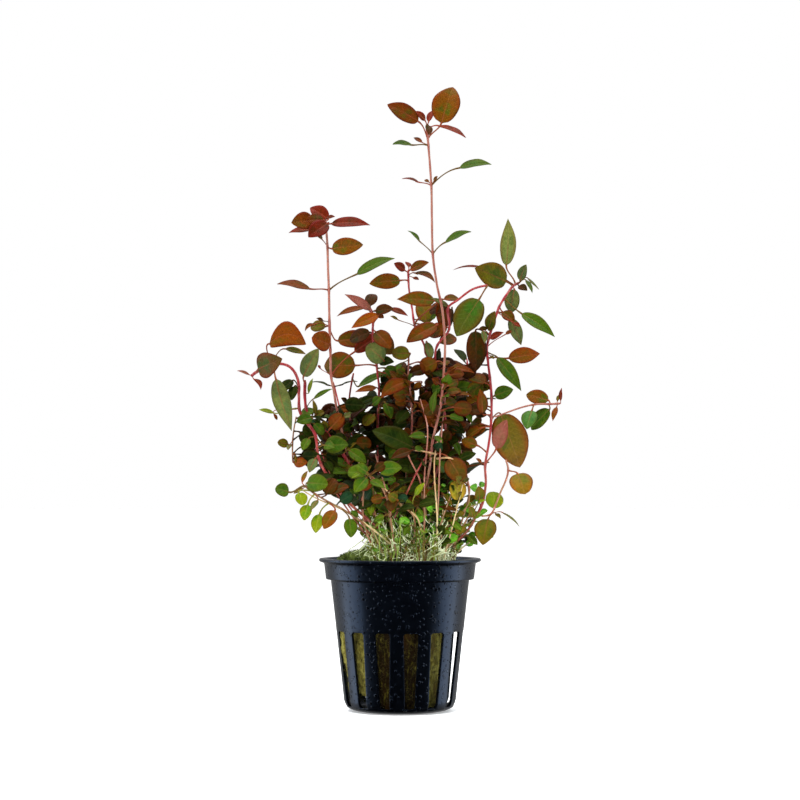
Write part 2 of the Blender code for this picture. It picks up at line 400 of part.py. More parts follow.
        Leaf((12.2, 57.6), (12.8, 56.6), (17.2, 57.8), 2.6, 25, 4, "green"),
    )),
    Stem("stem_back_left",
         ((-8.0, None, -15), (-11.5, 66, -20), (-15.5, 84, -26), (-20, 101, -31), (-23, 113, -35)),
         1.4, 0.8, "red stem", (), (Pairs(82, 112, 3, 11.0, 20, "dark"),)),
    Stem("stem_back_centre",
         ((0.0, None, -15), (1.0, 70, -21), (0.5, 88, -26), (0, 104, -29), (1, 116, -31)),
         1.4, 0.8, "red stem", (), (Pairs(82, 115, 3, 11.0, 65, "umber"),)),
    Stem("stem_back_right",
         ((10.0, None, -12), (15, 66, -18), (20.5, 82, -23), (24, 99, -27), (24, 112, -30), (23, 121, -32)),
         1.4, 0.8, "red stem", (), (Pairs(79, 120, 4, 11.0, 35, "dark"),)),
)


def sight(x, z, toward):
    """Return the point at x, z on the axis plane, slid towards the viewer."""
    seen = Vector((x, 0.0, z))
    return seen.lerp(VIEW_POINT, toward / -VIEW_POINT.y)


def hump(x, y, peak, spread):
    """Return the height of one soft hump at x, y."""
    across = (x - peak[0]) / spread[0]
    along = (y - peak[1]) / spread[1]
    return peak[2] * math.exp(-across * across - along * along)


def plug_top(x, y):
    """Return the height of the mossy top of the plug at x, y."""
    mossy = hump(x, y, MOSS_PEAK, MOSS_SPREAD)
    crown = hump(x, y, CROWN_PEAK, CROWN_SPREAD)
    ripple = TOP_RIPPLE * math.sin(0.9 * x) * math.cos(0.8 * y)
    return PLUG_TOP_Z + mossy + crown + ripple


def make_material(name, colour, roughness):
    """Return a plain Principled material."""
    material = bpy.data.materials.new(name)
    material.use_nodes = True
    shader = material.node_tree.nodes["Principled BSDF"]
    shader.inputs["Base Color"].default_value = (*colour, 1.0)
    shader.inputs["Roughness"].default_value = roughness
    shader.inputs["Metallic"].default_value = 0.0
    material.diffuse_color = (*colour, 1.0)
    return material


def link_object(name, mesh, collection, material=None):
    """Link a mesh as an object of a collection and dress it."""
    made = bpy.data.objects.new(name, mesh)
    collection.objects.link(made)
    if material:
        mesh.materials.clear()
        mesh.materials.append(material)
    return made


def bake_object(made):
    """Replace an object's modifiers by the mesh that they give."""
    view = bpy.context.evaluated_depsgraph_get()
    mesh = bpy.data.meshes.new_from_object(made.evaluated_get(view))
    made.modifiers.clear()
    made.data = mesh
    return made


def drop_object(made):
    """Remove a helper object."""
    bpy.data.objects.remove(made, do_unlink=True)


def pot_profile():
    """Return the pot's half section, from the floor up the inside and down the outside."""
    inner_foot = BODY_FOOT_RADIUS - WALL
    inner_top = BODY_TOP_RADIUS - WALL
    return (
        (0.0, FLOOR),
        (FLOOR_RADIUS, FLOOR),
        (inner_foot, CORNER_TOP_Z),
        (inner_top, COLLAR_FOOT_Z + 0.6),
        (COLLAR_FOOT_RADIUS - WALL, COLLAR_FOOT_Z + 1.4),
        (COLLAR_TOP_RADIUS - WALL, POT_HEIGHT),
        (LIP_RADIUS, POT_HEIGHT),
        (LIP_RADIUS, POT_HEIGHT - LIP_THICK),
        (COLLAR_TOP_RADIUS, POT_HEIGHT - LIP_THICK - 0.5),
        (COLLAR_FOOT_RADIUS, COLLAR_FOOT_Z),
        (BODY_TOP_RADIUS, COLLAR_FOOT_Z - 0.3),
        (BODY_FOOT_RADIUS, CORNER_TOP_Z),
        *CORNER_POINTS,
        (0.0, 0.0),
    )


def turn_profile(name, profile, steps, collection, material):
    """Turn a half section round the Z axis with a Screw modifier."""
    mesh = bpy.data.meshes.new(name)
    points = [(r * MM, 0.0, z * MM) for r, z in profile]
    edges = [(i, i + 1) for i in range(len(points) - 1)]
    mesh.from_pydata(points, edges, [])
    made = link_object(name, mesh, collection, material)
    screw = made.modifiers.new("turn", "SCREW")
    screw.axis = "Z"
    screw.steps = steps
    screw.render_steps = steps
    screw.use_merge_vertices = True
    screw.merge_threshold = 0.0001
    return made


def slot_cutter(index, collection):
    """Return one tapered slot, a wedge that points out through the wall."""
    reach_in, reach_out = 15.4, LIP_RADIUS + 4.0
    bm = bmesh.new()
    bmesh.ops.create_cube(bm, size=1.0)
    for vert in bm.verts:
        upper = vert.co.z > 0
        width = SLOT_TOP_WIDTH if upper else SLOT_FOOT_WIDTH
        across = math.copysign(width / 2, vert.co.y)
        outward = reach_out if vert.co.x > 0 else reach_in
        height = SLOT_TOP_Z if upper else SLOT_FOOT_Z
        vert.co = Vector((outward, across, height)) * MM
    turn = math.radians(SLOT_FIRST_TURN - 90.0 + index * 360.0 / SLOT_COUNT)
    bmesh.ops.rotate(bm, verts=bm.verts, matrix=Matrix.Rotation(turn, 3, "Z"))
    mesh = bpy.data.meshes.new(f"slot_{index}")
    bm.to_mesh(mesh)
    bm.free()
    made = link_object(f"slot_{index}", mesh, collection)
    made.display_type = "WIRE"
    made.hide_render = True
    return made


def make_pot(parts, cutters):
    """Make the slotted pot."""
    black = make_material("black_plastic", (0.008, 0.009, 0.011), 0.35)
    pot = turn_profile("net_pot", pot_profile(), POT_STEPS, parts, black)
    for index in range(SLOT_COUNT):
        slot_cutter(index, cutters)
    cut = pot.modifiers.new("slots", "BOOLEAN")
    cut.operation = "DIFFERENCE"
    cut.operand_type = "COLLECTION"
    cut.collection = cutters
    cut.solver = "EXACT"
    return pot


def plug_ring(radius, height, waviness):
    """Return one wavy level ring of the plug."""
    ring = []
    for step in range(PLUG_STEPS):
        turn = 2 * math.pi * step / PLUG_STEPS
        wave = math.sin(3 * turn + height * 0.21) + 0.6 * math.sin(7 * turn - height * 0.13)
        reach = radius + waviness * wave
        ring.append(Vector((reach * math.cos(turn), reach * math.sin(turn), height)))
    return ring


def make_plug(parts):
    """Make the rockwool plug by lofting wavy rings and closing them with a mossy top."""
    rings = []
    side_levels = (0.0, 0.28, 0.5, 0.72, 1.0)
    for level in side_levels:
        height = PLUG_FOOT_Z + level * (PLUG_SHOULDER_Z - PLUG_FOOT_Z)
        radius = PLUG_FOOT_RADIUS + level * (PLUG_SHOULDER_RADIUS - PLUG_FOOT_RADIUS)
        rings.append(plug_ring(radius, height, PLUG_WAVE))
    for share in (0.94, 0.72, 0.45, 0.2):
        ring = plug_ring(PLUG_SHOULDER_RADIUS * share, PLUG_SHOULDER_Z, PLUG_WAVE * share)
        for point in ring:
            point.z = plug_top(point.x, point.y)
        rings.append(ring)
    bm = bmesh.new()
    rows = [[bm.verts.new(point * MM) for point in ring] for ring in rings]
    for low, high in zip(rows, rows[1:]):
        for step in range(PLUG_STEPS):
            after = (step + 1) % PLUG_STEPS
            bm.faces.new((low[step], low[after], high[after], high[step]))
    bm.faces.new(list(reversed(rows[0])))
    peak = bm.verts.new(Vector((0.0, 0.0, plug_top(0.0, 0.0))) * MM)
    for step in range(PLUG_STEPS):
        bm.faces.new((rows[-1][step], rows[-1][(step + 1) % PLUG_STEPS], peak))
    mesh = bpy.data.meshes.new("rockwool_plug")
    bm.to_mesh(mesh)
    bm.free()
    wool = make_material("rockwool", (0.16, 0.13, 0.035), 0.95)
    return link_object("rockwool_plug", mesh, parts, wool)


def thinned(points):
    """Leave out the inner points that a straight piece would run through."""
    kept = points[:1]
    for here, after in zip(points[1:], points[2:]):
        way = (after - kept[-1]).normalized()
        if (here - kept[-1]).cross(way).length > STRAIGHT_ENOUGH:
            kept.append(here)
    return kept + points[-1:]


def stem_points(stem):
    """Return a stem's points, with a rooted foot set just above the plug."""
    points = []
    for x, z, toward in stem.route:
        if z is None:
            spot = sight(x, PLUG_TOP_Z, toward)
            reach = stem.foot_width / 2
            around = [(spot.x + a, spot.y + b) for a in (-reach, reach) for b in (-reach, reach)]
            spot.z = max(plug_top(a, b) for a, b in around) + FIT_GAP + FOOT_RISE
            points.append(spot)
        else:
            points.append(sight(x, z, toward))
    return thinned(points)


def stem_width(stem, share):
    """Return a stem's thickness at a share of its length."""
    return stem.foot_width + (stem.tip_width - stem.foot_width) * share


def nearest_on_stem(stem, points, seen):
    """Return the stem's point seen nearest to x, z, with its thickness and direction there."""
    best = None
    for index, (low, high) in enumerate(zip(points, points[1:])):
        for step in range(21):
            share = step / 20
            spot = low.lerp(high, share)
            plane = VIEW_POINT.lerp(spot, VIEW_POINT.y / (VIEW_POINT.y - spot.y))
            miss = math.hypot(plane.x - seen[0], plane.z - seen[1])
            if best is None or miss < best[0]:
                along = (index + share) / (len(points) - 1)
                best = (miss, spot, stem_width(stem, along), (high - low).normalized())
    return best[1:]


def face_on(axis, roll, where):
    """Return a blade's normal: at 0 it faces the viewer, at 90 it faces up."""
    to_view = (VIEW_POINT - where).normalized()
    front = (to_view - axis * to_view.dot(axis)).normalized()
    side = axis.cross(front)
    if side.z < -0.05 or (abs(side.z) <= 0.05 and side.x < 0):
        side = -side
    turn = math.radians(roll)
    return front * math.cos(turn) + side * math.sin(turn)


def leaf_width_at(share):
    """Return the half width of a blade at a share of its length, as a part of its greatest."""
    return math.sin(math.pi * share ** LEAF_POINTED) ** LEAF_ROUND


def square_to(direction, side, normal):
    """Turn a blade's side and normal square to another direction."""
    turned = side - direction * side.dot(direction)
    if turned.length < 0.35:
        turned = direction.cross(normal)
    turned.normalize()
    return turned, turned.cross(direction).normalized()


def loft_sections(name, sections, tip, keeled):
    """Loft diamond or keeled three-sided sections up to a tip and close them."""
    bm = bmesh.new()
    rings = []
    for centre, across, up, lift in sections:
        raised = up.normalized() * lift
        left, right = centre - across + raised, centre + across + raised
        ring = (left, right, centre - up) if keeled else (left, centre + up, right, centre - up)
        rings.append([bm.verts.new(point * MM) for point in ring])
    sides = len(rings[0])
    for low, high in zip(rings, rings[1:]):
        for step in range(sides):
            after = (step + 1) % sides
            bm.faces.new((low[step], low[after], high[after], high[step]))
    bm.faces.new(list(reversed(rings[0])))
    point = bm.verts.new(tip * MM)
    for step in range(sides):
        bm.faces.new((rings[-1][step], rings[-1][(step + 1) % sides], point))
    bmesh.ops.recalc_face_normals(bm, faces=bm.faces)
    mesh = bpy.data.meshes.new(name)
    bm.to_mesh(mesh)
    bm.free()
    return mesh


def leaf_pieces(name, start, base, tip, normal, width, sweep, shares, keeled):
    """Return a leaf's closed pieces: one, or petiole and blade where the blade folds back."""
    axis = (tip - base).normalized()
    side = axis.cross(normal).normalized()
    length = (tip - base).length
    lead = (base - start).normalized()
    first_side, first_normal = square_to(lead, side, normal)
    thick = min(BLADE_THICK, 0.16 * width + 0.35)
    stalk = min(PETIOLE_HALF, 0.12 * width + 0.16)
    petiole = (start, first_side * stalk, first_normal * stalk, 0.0)
    if lead.dot(axis) > FOLD_BACK:
        turned, raised = square_to((lead + axis).normalized(), side, normal)
        sections = [petiole, (base, turned * stalk, raised * stalk, 0.0)]
    else:
        sections = [(base - axis * stalk, side * stalk, normal * stalk, 0.0)]
    for share in shares:
        bend = 4 * share * (1 - share)
        centre = base.lerp(tip, share) + normal * BLADE_BOW * length * bend + side * sweep * bend
        half = max(width / 2 * leaf_width_at(share), stalk)
        sections.append((centre, side * half, normal * thick / 2, half * BLADE_FOLD))
    pieces = [loft_sections(name, sections, tip, keeled)]
    if sections[0] is not petiole:
        end = (base, first_side * stalk, first_normal * stalk, 0.0)
        beyond = base + lead * 2 * stalk
        pieces.append(loft_sections(f"{name}_petiole", [petiole, end], beyond, keeled))
    return pieces


def folds_back(leaf):
    """Tell whether a leaf's blade turns back over its petiole in the front view."""
    stalk = Vector(leaf.base) - Vector(leaf.joint)
    blade = Vector(leaf.tip) - Vector(leaf.base)
    return stalk.dot(blade) < 0.0


def seen_leaf(name, stem, points, leaf):
    """Return the closed pieces of a leaf that is placed by the front view."""
    joint, thickness, along = nearest_on_stem(stem, points, leaf.joint)
    toward = -joint.y
    stalk = math.dist(leaf.joint, leaf.base)
    blade = math.dist(leaf.base, leaf.tip)
    hidden = math.sqrt(max(0.0, (LEAF_ASPECT * leaf.width) ** 2 - blade ** 2))
    lean = math.copysign(max(abs(leaf.lean), TIP_SHARE * hidden), leaf.lean)
    stalk_share = stalk / (stalk + blade)
    if folds_back(leaf):
        lean = math.copysign(max(abs(lean), FOLDED_LEAN), lean)
        stalk_share = max(stalk_share, FOLDED_STALK_SHARE)
    base = sight(*leaf.base, toward + lean * stalk_share)
    tip = sight(*leaf.tip, toward + lean)
    if leaf.name:
        lead = (base - joint).normalized()
        slant = max(lead.cross(along).length, LEAST_SLANT)
        joint = joint + lead * (thickness / 2 + FIT_GAP + PETIOLE_HALF) / slant
        shares = BIG_LEAF_SHARES
    else:
        shares = SMALL_LEAF_SHARES if leaf.width > TINY_LEAF_WIDTH else TINY_LEAF_SHARES
    normal = face_on((tip - base).normalized(), leaf.roll, base)
    return leaf_pieces(name, joint, base, tip, normal, leaf.width, leaf.sweep, shares, not leaf.name)


def paired_leaves(stem, points, pairs):
    """Make the leaf meshes of a run of opposite pairs."""
    meshes = []
    for index in range(pairs.count):
        share = index / (pairs.count - 1)
        height = pairs.low + share * (pairs.high - pairs.low)
        spot = height_on_stem(points, height)
        size = pairs.size * (1.0 - 0.35 * share) * (1.0 + 0.12 * math.sin(2.3 * index))
        for half in (0, 1):
            turn = math.radians(pairs.turn + 90 * index + 180 * half + 12 * math.sin(1.7 * index + half))
            rise = math.radians(24 + 14 * math.sin(2.1 * index + 1.3 * half))
            out = Vector((math.cos(turn), math.sin(turn), 0.0))
            axis = out * math.cos(rise) + Vector((0.0, 0.0, math.sin(rise)))
            normal = Vector((0.0, 0.0, math.cos(rise))) - out * math.sin(rise)
            base = spot + axis * size * 0.38
            tip = base + axis * size
            name = f"{stem.name}_pair_{index}_{half}"
            meshes += leaf_pieces(name, spot, base, tip, normal, size * 0.56, 0.0, SMALL_LEAF_SHARES, True)
    return meshes


def height_on_stem(points, height):
    """Return the point of a rising stem at a height."""
    for low, high in zip(points, points[1:]):
        if low.z <= height <= high.z:
            return low.lerp(high, (height - low.z) / (high.z - low.z))
    return points[-1].copy() if height > points[-1].z else points[0].copy()


def stem_object(stem, points, collection, material):
    """Make a stem as a tapering tube and return it as a closed mesh object."""
    curve = bpy.data.curves.new(stem.name, "CURVE")
    curve.dimensions = "3D"
    curve.bevel_depth = MM
    curve.bevel_resolution = STEM_SIDES_LEVEL
    curve.use_fill_caps = True
    spline = curve.splines.new("POLY")
    spline.points.add(len(points) - 1)
    for index, point in enumerate(points):
        spline.points[index].co = (*(point * MM), 1.0)
        spline.points[index].radius = stem_width(stem, index / (len(points) - 1)) / 2
    helper = bpy.data.objects.new(f"{stem.name}_curve", curve)
    collection.objects.link(helper)
    view = bpy.context.evaluated_depsgraph_get()
    mesh = bpy.data.meshes.new_from_object(helper.evaluated_get(view))
    drop_object(helper)
    bm = bmesh.new()
    bm.from_mesh(mesh)
    bmesh.ops.remove_doubles(bm, verts=bm.verts, dist=0.00001)
    bmesh.ops.recalc_face_normals(bm, faces=bm.faces)
    bm.to_mesh(mesh)
    bm.free()
    mesh.name = stem.name
    return link_object(stem.name, mesh, collection, material)


def turn_diagonal(bm, edge):
    """Turn a flat pair of triangles on an edge that two pairs share. Return whether one was found."""
    for first in edge.link_faces:
        for second in edge.link_faces:
            if first is second or first.normal.dot(second.normal) < FLAT_PAIR:
                continue
            loop = next(loop for loop in first.loops if loop.edge is edge)
            start, end = loop.vert, loop.link_loop_next.vert
            here = next(vert for vert in first.verts if vert not in edge.verts)
            there = next(vert for vert in second.verts if vert not in edge.verts)
            pairs = ((start, there, here), (there, end, here))
            fair = all((b.co - a.co).cross(c.co - a.co).dot(first.normal) > 0 for a, b, c in pairs)
            if fair and not bm.edges.get((here, there)):
                bmesh.ops.delete(bm, geom=[first, second], context="FACES_KEEP_BOUNDARY")
                for corners in pairs:
                    bm.faces.new(corners)
                return True
    return False


def triangulate_closed(made):
    """Cut a closed mesh into triangles so that no two pairs of them share a diagonal."""
    bm = bmesh.new()
    bm.from_mesh(made.data)
    bmesh.ops.triangulate(bm, faces=bm.faces)
    turned = True
    while turned:
        bm.normal_update()
        shared = [edge for edge in bm.edges if len(edge.link_faces) > 2]
        turned = any(turn_diagonal(bm, edge) for edge in shared[:1])
    bm.to_mesh(made.data)
    bm.free()


def unite(body, meshes, material):
    """Fuse closed pieces to the body that they grow from."""
    if not meshes:
        return
    group = bpy.data.collections.new(f"{body.name}_leaves")
    bpy.context.scene.collection.children.link(group)
    helpers = [link_object(mesh.name, mesh, group, material) for mesh in meshes]
    union = body.modifiers.new("leaves", "BOOLEAN")
    union.operation = "UNION"
    union.operand_type = "COLLECTION"
    union.collection = group
    union.solver = "MANIFOLD"
    bake_object(body)
    for helper in helpers:
        drop_object(helper)
    bpy.data.collections.remove(group)
    triangulate_closed(body)


def make_plant(parts):
    """Make every stem with its small leaves, and the named leaves beside them."""
    finishes = {name: make_material(name.replace(" ", "_"), tint, FINISH_ROUGHNESS) for name, tint in TINTS.items()}
    for stem in STEMS:
        points = stem_points(stem)
        body = stem_object(stem, points, parts, finishes[stem.tint])
        fused = []
        for index, leaf in enumerate(stem.leaves):
            name = leaf.name or f"{stem.name}_small_{index}"
            pieces = seen_leaf(name, stem, points, leaf)
            if leaf.name:
                blade = link_object(name, pieces[0], parts, finishes[leaf.tint])
                unite(blade, pieces[1:], finishes[leaf.tint])
            else:
                fused += pieces
        for pairs in stem.pairs:
            fused += paired_leaves(stem, points, pairs)
        unite(body, fused, finishes[stem.tint])


def main():
    """Clear the scene and build the potted plant."""
    for old in list(bpy.data.objects):
        bpy.data.objects.remove(old, do_unlink=True)
    parts = bpy.data.collections.new(OBJECT_NAME)
    cutters = bpy.data.collections.new("cutters")
    bpy.context.scene.collection.children.link(parts)
    bpy.context.scene.collection.children.link(cutters)
    make_pot(parts, cutters)
    make_plug(parts)
    make_plant(parts)


main()
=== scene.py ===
"""Looks of a red-leaved marsh plant that grows out of a slotted net pot.

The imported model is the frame, and every solid in it is replaced by a finer piece of the same
form: the pot, the rockwool plug with its moss, a tube and a spray of small leaves for each stem,
and one piece for each large leaf. The crowd of small leaves in the middle has no solid, nor have
the moss, wool fibres, hair roots, thin stalks and seedlings at the foot.

Plant points are millimetres (x, z, toward): where a point is seen from the front against the
pot's axis plane, and how far in front of that plane it lies. sight() turns them into places.
"""
from __future__ import annotations

import logging
import math
import random
from dataclasses import dataclass, field
from enum import Enum
from typing import Any, NamedTuple, Optional, Sequence

import bmesh
import bpy
from mathutils import Matrix, Vector, noise

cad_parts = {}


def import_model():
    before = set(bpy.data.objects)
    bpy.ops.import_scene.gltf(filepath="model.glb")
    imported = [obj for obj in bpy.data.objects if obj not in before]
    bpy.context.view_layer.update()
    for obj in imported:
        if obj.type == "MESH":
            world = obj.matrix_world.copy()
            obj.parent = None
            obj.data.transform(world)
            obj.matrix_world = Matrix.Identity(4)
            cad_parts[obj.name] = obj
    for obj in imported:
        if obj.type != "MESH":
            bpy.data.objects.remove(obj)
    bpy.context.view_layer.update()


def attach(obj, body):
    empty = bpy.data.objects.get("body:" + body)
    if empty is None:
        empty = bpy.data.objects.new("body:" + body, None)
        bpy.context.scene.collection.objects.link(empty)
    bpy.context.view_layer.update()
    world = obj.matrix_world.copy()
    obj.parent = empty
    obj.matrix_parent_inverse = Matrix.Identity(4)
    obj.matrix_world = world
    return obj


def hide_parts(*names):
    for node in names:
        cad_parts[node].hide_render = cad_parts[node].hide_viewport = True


LOG = logging.getLogger("marsh_plant")
MM = 0.001
BODY = "root"
VIEW_POINT = Vector((0.0, -900.0, 85.0))
UP = Vector((0.0, 0.0, 1.0))
FULL_TURN = 2 * math.pi
Pair = tuple[float, float]
Triple = tuple[float, float, float]
Route = tuple[tuple[float, Optional[float], float], ...]
Face = tuple[int, ...]
Tree = bpy.types.NodeTree
Socket = bpy.types.NodeSocket
Piece = bpy.types.Object
# Blade columns, blade rows and petiole corners of a large, a small and a tiny leaf
FINE_GRID = (10, 14, 8)
PLAIN_GRID = (6, 9, 6)
TINY_GRID = (4, 6, 5)
SMALL_LEAF = 3.4
# A leaf seen shorter than this for its width points toward the viewer or away
LEAF_ASPECT = 1.45
TIP_SHARE = 0.8
FOLDED_LEAN = 3.5
FOLDED_STALK_SHARE = 0.6


# Colours and nodes


def linear(code: str) -> tuple[float, float, float, float]:
    """Turn an sRGB hex colour into linear light.

    Args:
        code: Six hex digits with a leading #.

    Returns:
        Red, green, blue and a full alpha.
    """
    parts = [int(code[place:place + 2], 16) / 255 for place in (1, 3, 5)]
    red, green, blue = (c / 12.92 if c <= 0.04045 else ((c + 0.055) / 1.055) ** 2.4 for c in parts)
    return red, green, blue, 1.0


def scale_of(size_mm: float) -> float:
    """Return the texture scale that makes a pattern's patches so many millimetres across."""
    return 1.0 / (size_mm * MM)


class Kind(Enum):
    """The nodes in use: type, the inputs that are fed in order, the output that is read, and settings."""

    PLUS = ("ShaderNodeMath", (0, 1), 0, {"operation": "ADD"})
    MINUS = ("ShaderNodeMath", (0, 1), 0, {"operation": "SUBTRACT"})
    TIMES = ("ShaderNodeMath", (0, 1), 0, {"operation": "MULTIPLY"})
    OVER = ("ShaderNodeMath", (0, 1), 0, {"operation": "DIVIDE"})
    LARGER = ("ShaderNodeMath", (0, 1), 0, {"operation": "MAXIMUM"})
    SIZE = ("ShaderNodeMath", (0,), 0, {"operation": "ABSOLUTE"})
    ZIGZAG = ("ShaderNodeMath", (0, 1), 0, {"operation": "PINGPONG"})
    EASE = ("ShaderNodeMapRange", (0, 1, 2, 3, 4), 0, {"interpolation_type": "SMOOTHSTEP"})
    LAY = ("ShaderNodeMix", (0, 6, 7), 2, {"data_type": "RGBA"})
    STAIN = ("ShaderNodeMix", (0, 6, 7), 2, {"data_type": "RGBA", "blend_type": "MULTIPLY"})
    BRIGHTEN = ("ShaderNodeHueSaturation", ("Color", "Value"), 0, {})
    NOISE = ("ShaderNodeTexNoise", ("Vector", "Scale", "Detail", "Roughness"), 0, {})
    CELLS = ("ShaderNodeTexVoronoi", ("Vector", "Scale"), "Distance", {})
    PLACE = ("ShaderNodeTexCoord", (), "Object", {})
    SKYWARD = ("ShaderNodeTexCoord", (), "Generated", {})
    STRETCH = ("ShaderNodeMapping", ("Vector", "Scale", "Rotation"), 0, {})
    BLADE_MARK = ("ShaderNodeAttribute", (), "Vector", {"attribute_name": "blade"})
    SKIN_MARK = ("ShaderNodeAttribute", (), "Vector", {"attribute_name": "skin"})
    KNOT_MARK = ("ShaderNodeAttribute", (), "Fac", {"attribute_name": "knot"})
    SPLIT = ("ShaderNodeSeparateXYZ", (0,), 0, {})
    FIRST_PART = ("ShaderNodeSeparateColor", (0,), 0, {})
    JOIN = ("ShaderNodeCombineXYZ", (0, 1, 2), 0, {})
    BUMP = ("ShaderNodeBump", ("Height", "Distance", "Strength"), 0, {})
    GLOW = ("ShaderNodeBackground", ("Color", "Strength"), 0, {})
    SEEN = ("ShaderNodeLightPath", (), "Is Camera Ray", {})
    CHOICE = ("ShaderNodeMixShader", (0, 1, 2), 0, {})
    LINE = ("GeometryNodeMeshLine", ("Count", "Offset"), 0, {"mode": "OFFSET"})
    INDEX = ("GeometryNodeInputIndex", (), 0, {})
    PLANT = ("GeometryNodeInstanceOnPoints", ("Points", "Instance", "Rotation", "Scale"), 0, {})
    REAL = ("GeometryNodeRealizeInstances", (0,), 0, {})
    MERGE = ("GeometryNodeMergeByDistance", ("Geometry", "Distance"), 0, {})
    SMOOTH = ("GeometryNodeSetShadeSmooth", (0,), 0, {})
    DRESS = ("GeometryNodeSetMaterial", ("Geometry", "Material"), 0, {})
    CURVE = ("GeometryNodeMeshToCurve", (0,), 0, {})
    CIRCLE = ("GeometryNodeCurvePrimitiveCircle", ("Resolution", "Radius"), 0, {})
    THICK_MARK = ("GeometryNodeInputNamedAttribute", ("Name",), 0, {"data_type": "FLOAT"})
    SWEEP = ("GeometryNodeCurveToMesh", ("Curve", "Profile Curve", "Scale", "Fill Caps"), 0, {})
    SOW = ("GeometryNodeDistributePointsOnFaces", ("Mesh", "Density", "Seed"), "Points",
           {"distribute_method": "RANDOM"})
    CHANCE = ("FunctionNodeRandomValue", (2, 3, "Seed"), 1, {"data_type": "FLOAT"})
    CHANCE_WAY = ("FunctionNodeRandomValue", (0, 1, "Seed"), 0, {"data_type": "FLOAT_VECTOR"})
    TURNED = ("FunctionNodeRotateRotation", (0, 1), 0, {"rotation_space": "LOCAL"})
    SHAPE = ("GeometryNodeObjectInfo", ("Object", "As Instance"), "Geometry", {})


def feed(node: bpy.types.Node, feeds: dict[Any, Any]) -> None:
    """Give a node's inputs their values or link them.

    Args:
        node: The node.
        feeds: Input name or number to a value, a hex colour or the socket that feeds it.
    """
    for key, value in feeds.items():
        if isinstance(value, Socket):
            node.id_data.links.new(value, node.inputs[key])
        else:
            node.inputs[key].default_value = linear(value) if str(value).startswith("#") else value


def add(tree: Tree, kind: Kind, *feeds: Any) -> Socket:
    """Add a node to a tree.

    Args:
        tree: The material, world or geometry tree.
        kind: The kind of node.
        feeds: What its inputs get in order: values, hex colours, or the sockets that feed them.

    Returns:
        The output that its kind names. The others are reached through the socket's node.
    """
    title, inputs, output, settings = kind.value
    node = tree.nodes.new(title)
    for name, value in settings.items():
        setattr(node, name, value)
    feed(node, dict(zip(inputs, feeds)))
    return node.outputs[output]


# Finishes


@dataclass(frozen=True)
class Finish:
    """A surface finish that is made into a material once and then shared."""

    name: str

    def material(self) -> bpy.types.Material:
        """Make the finish's material on first use.

        Returns:
            The material.
        """
        made = bpy.data.materials.get(self.name)
        if not made:
            made = bpy.data.materials.new(self.name)
            made.use_nodes = True
            feed(made.node_tree.nodes["Principled BSDF"], self.paint(made.node_tree))
        return made

    def paint(self, tree: Tree) -> dict[str, Any]:
        """Wire the finish's nodes.

        Args:
            tree: The material's tree.

        Returns:
            What the shader's inputs get.
        """
        raise NotImplementedError


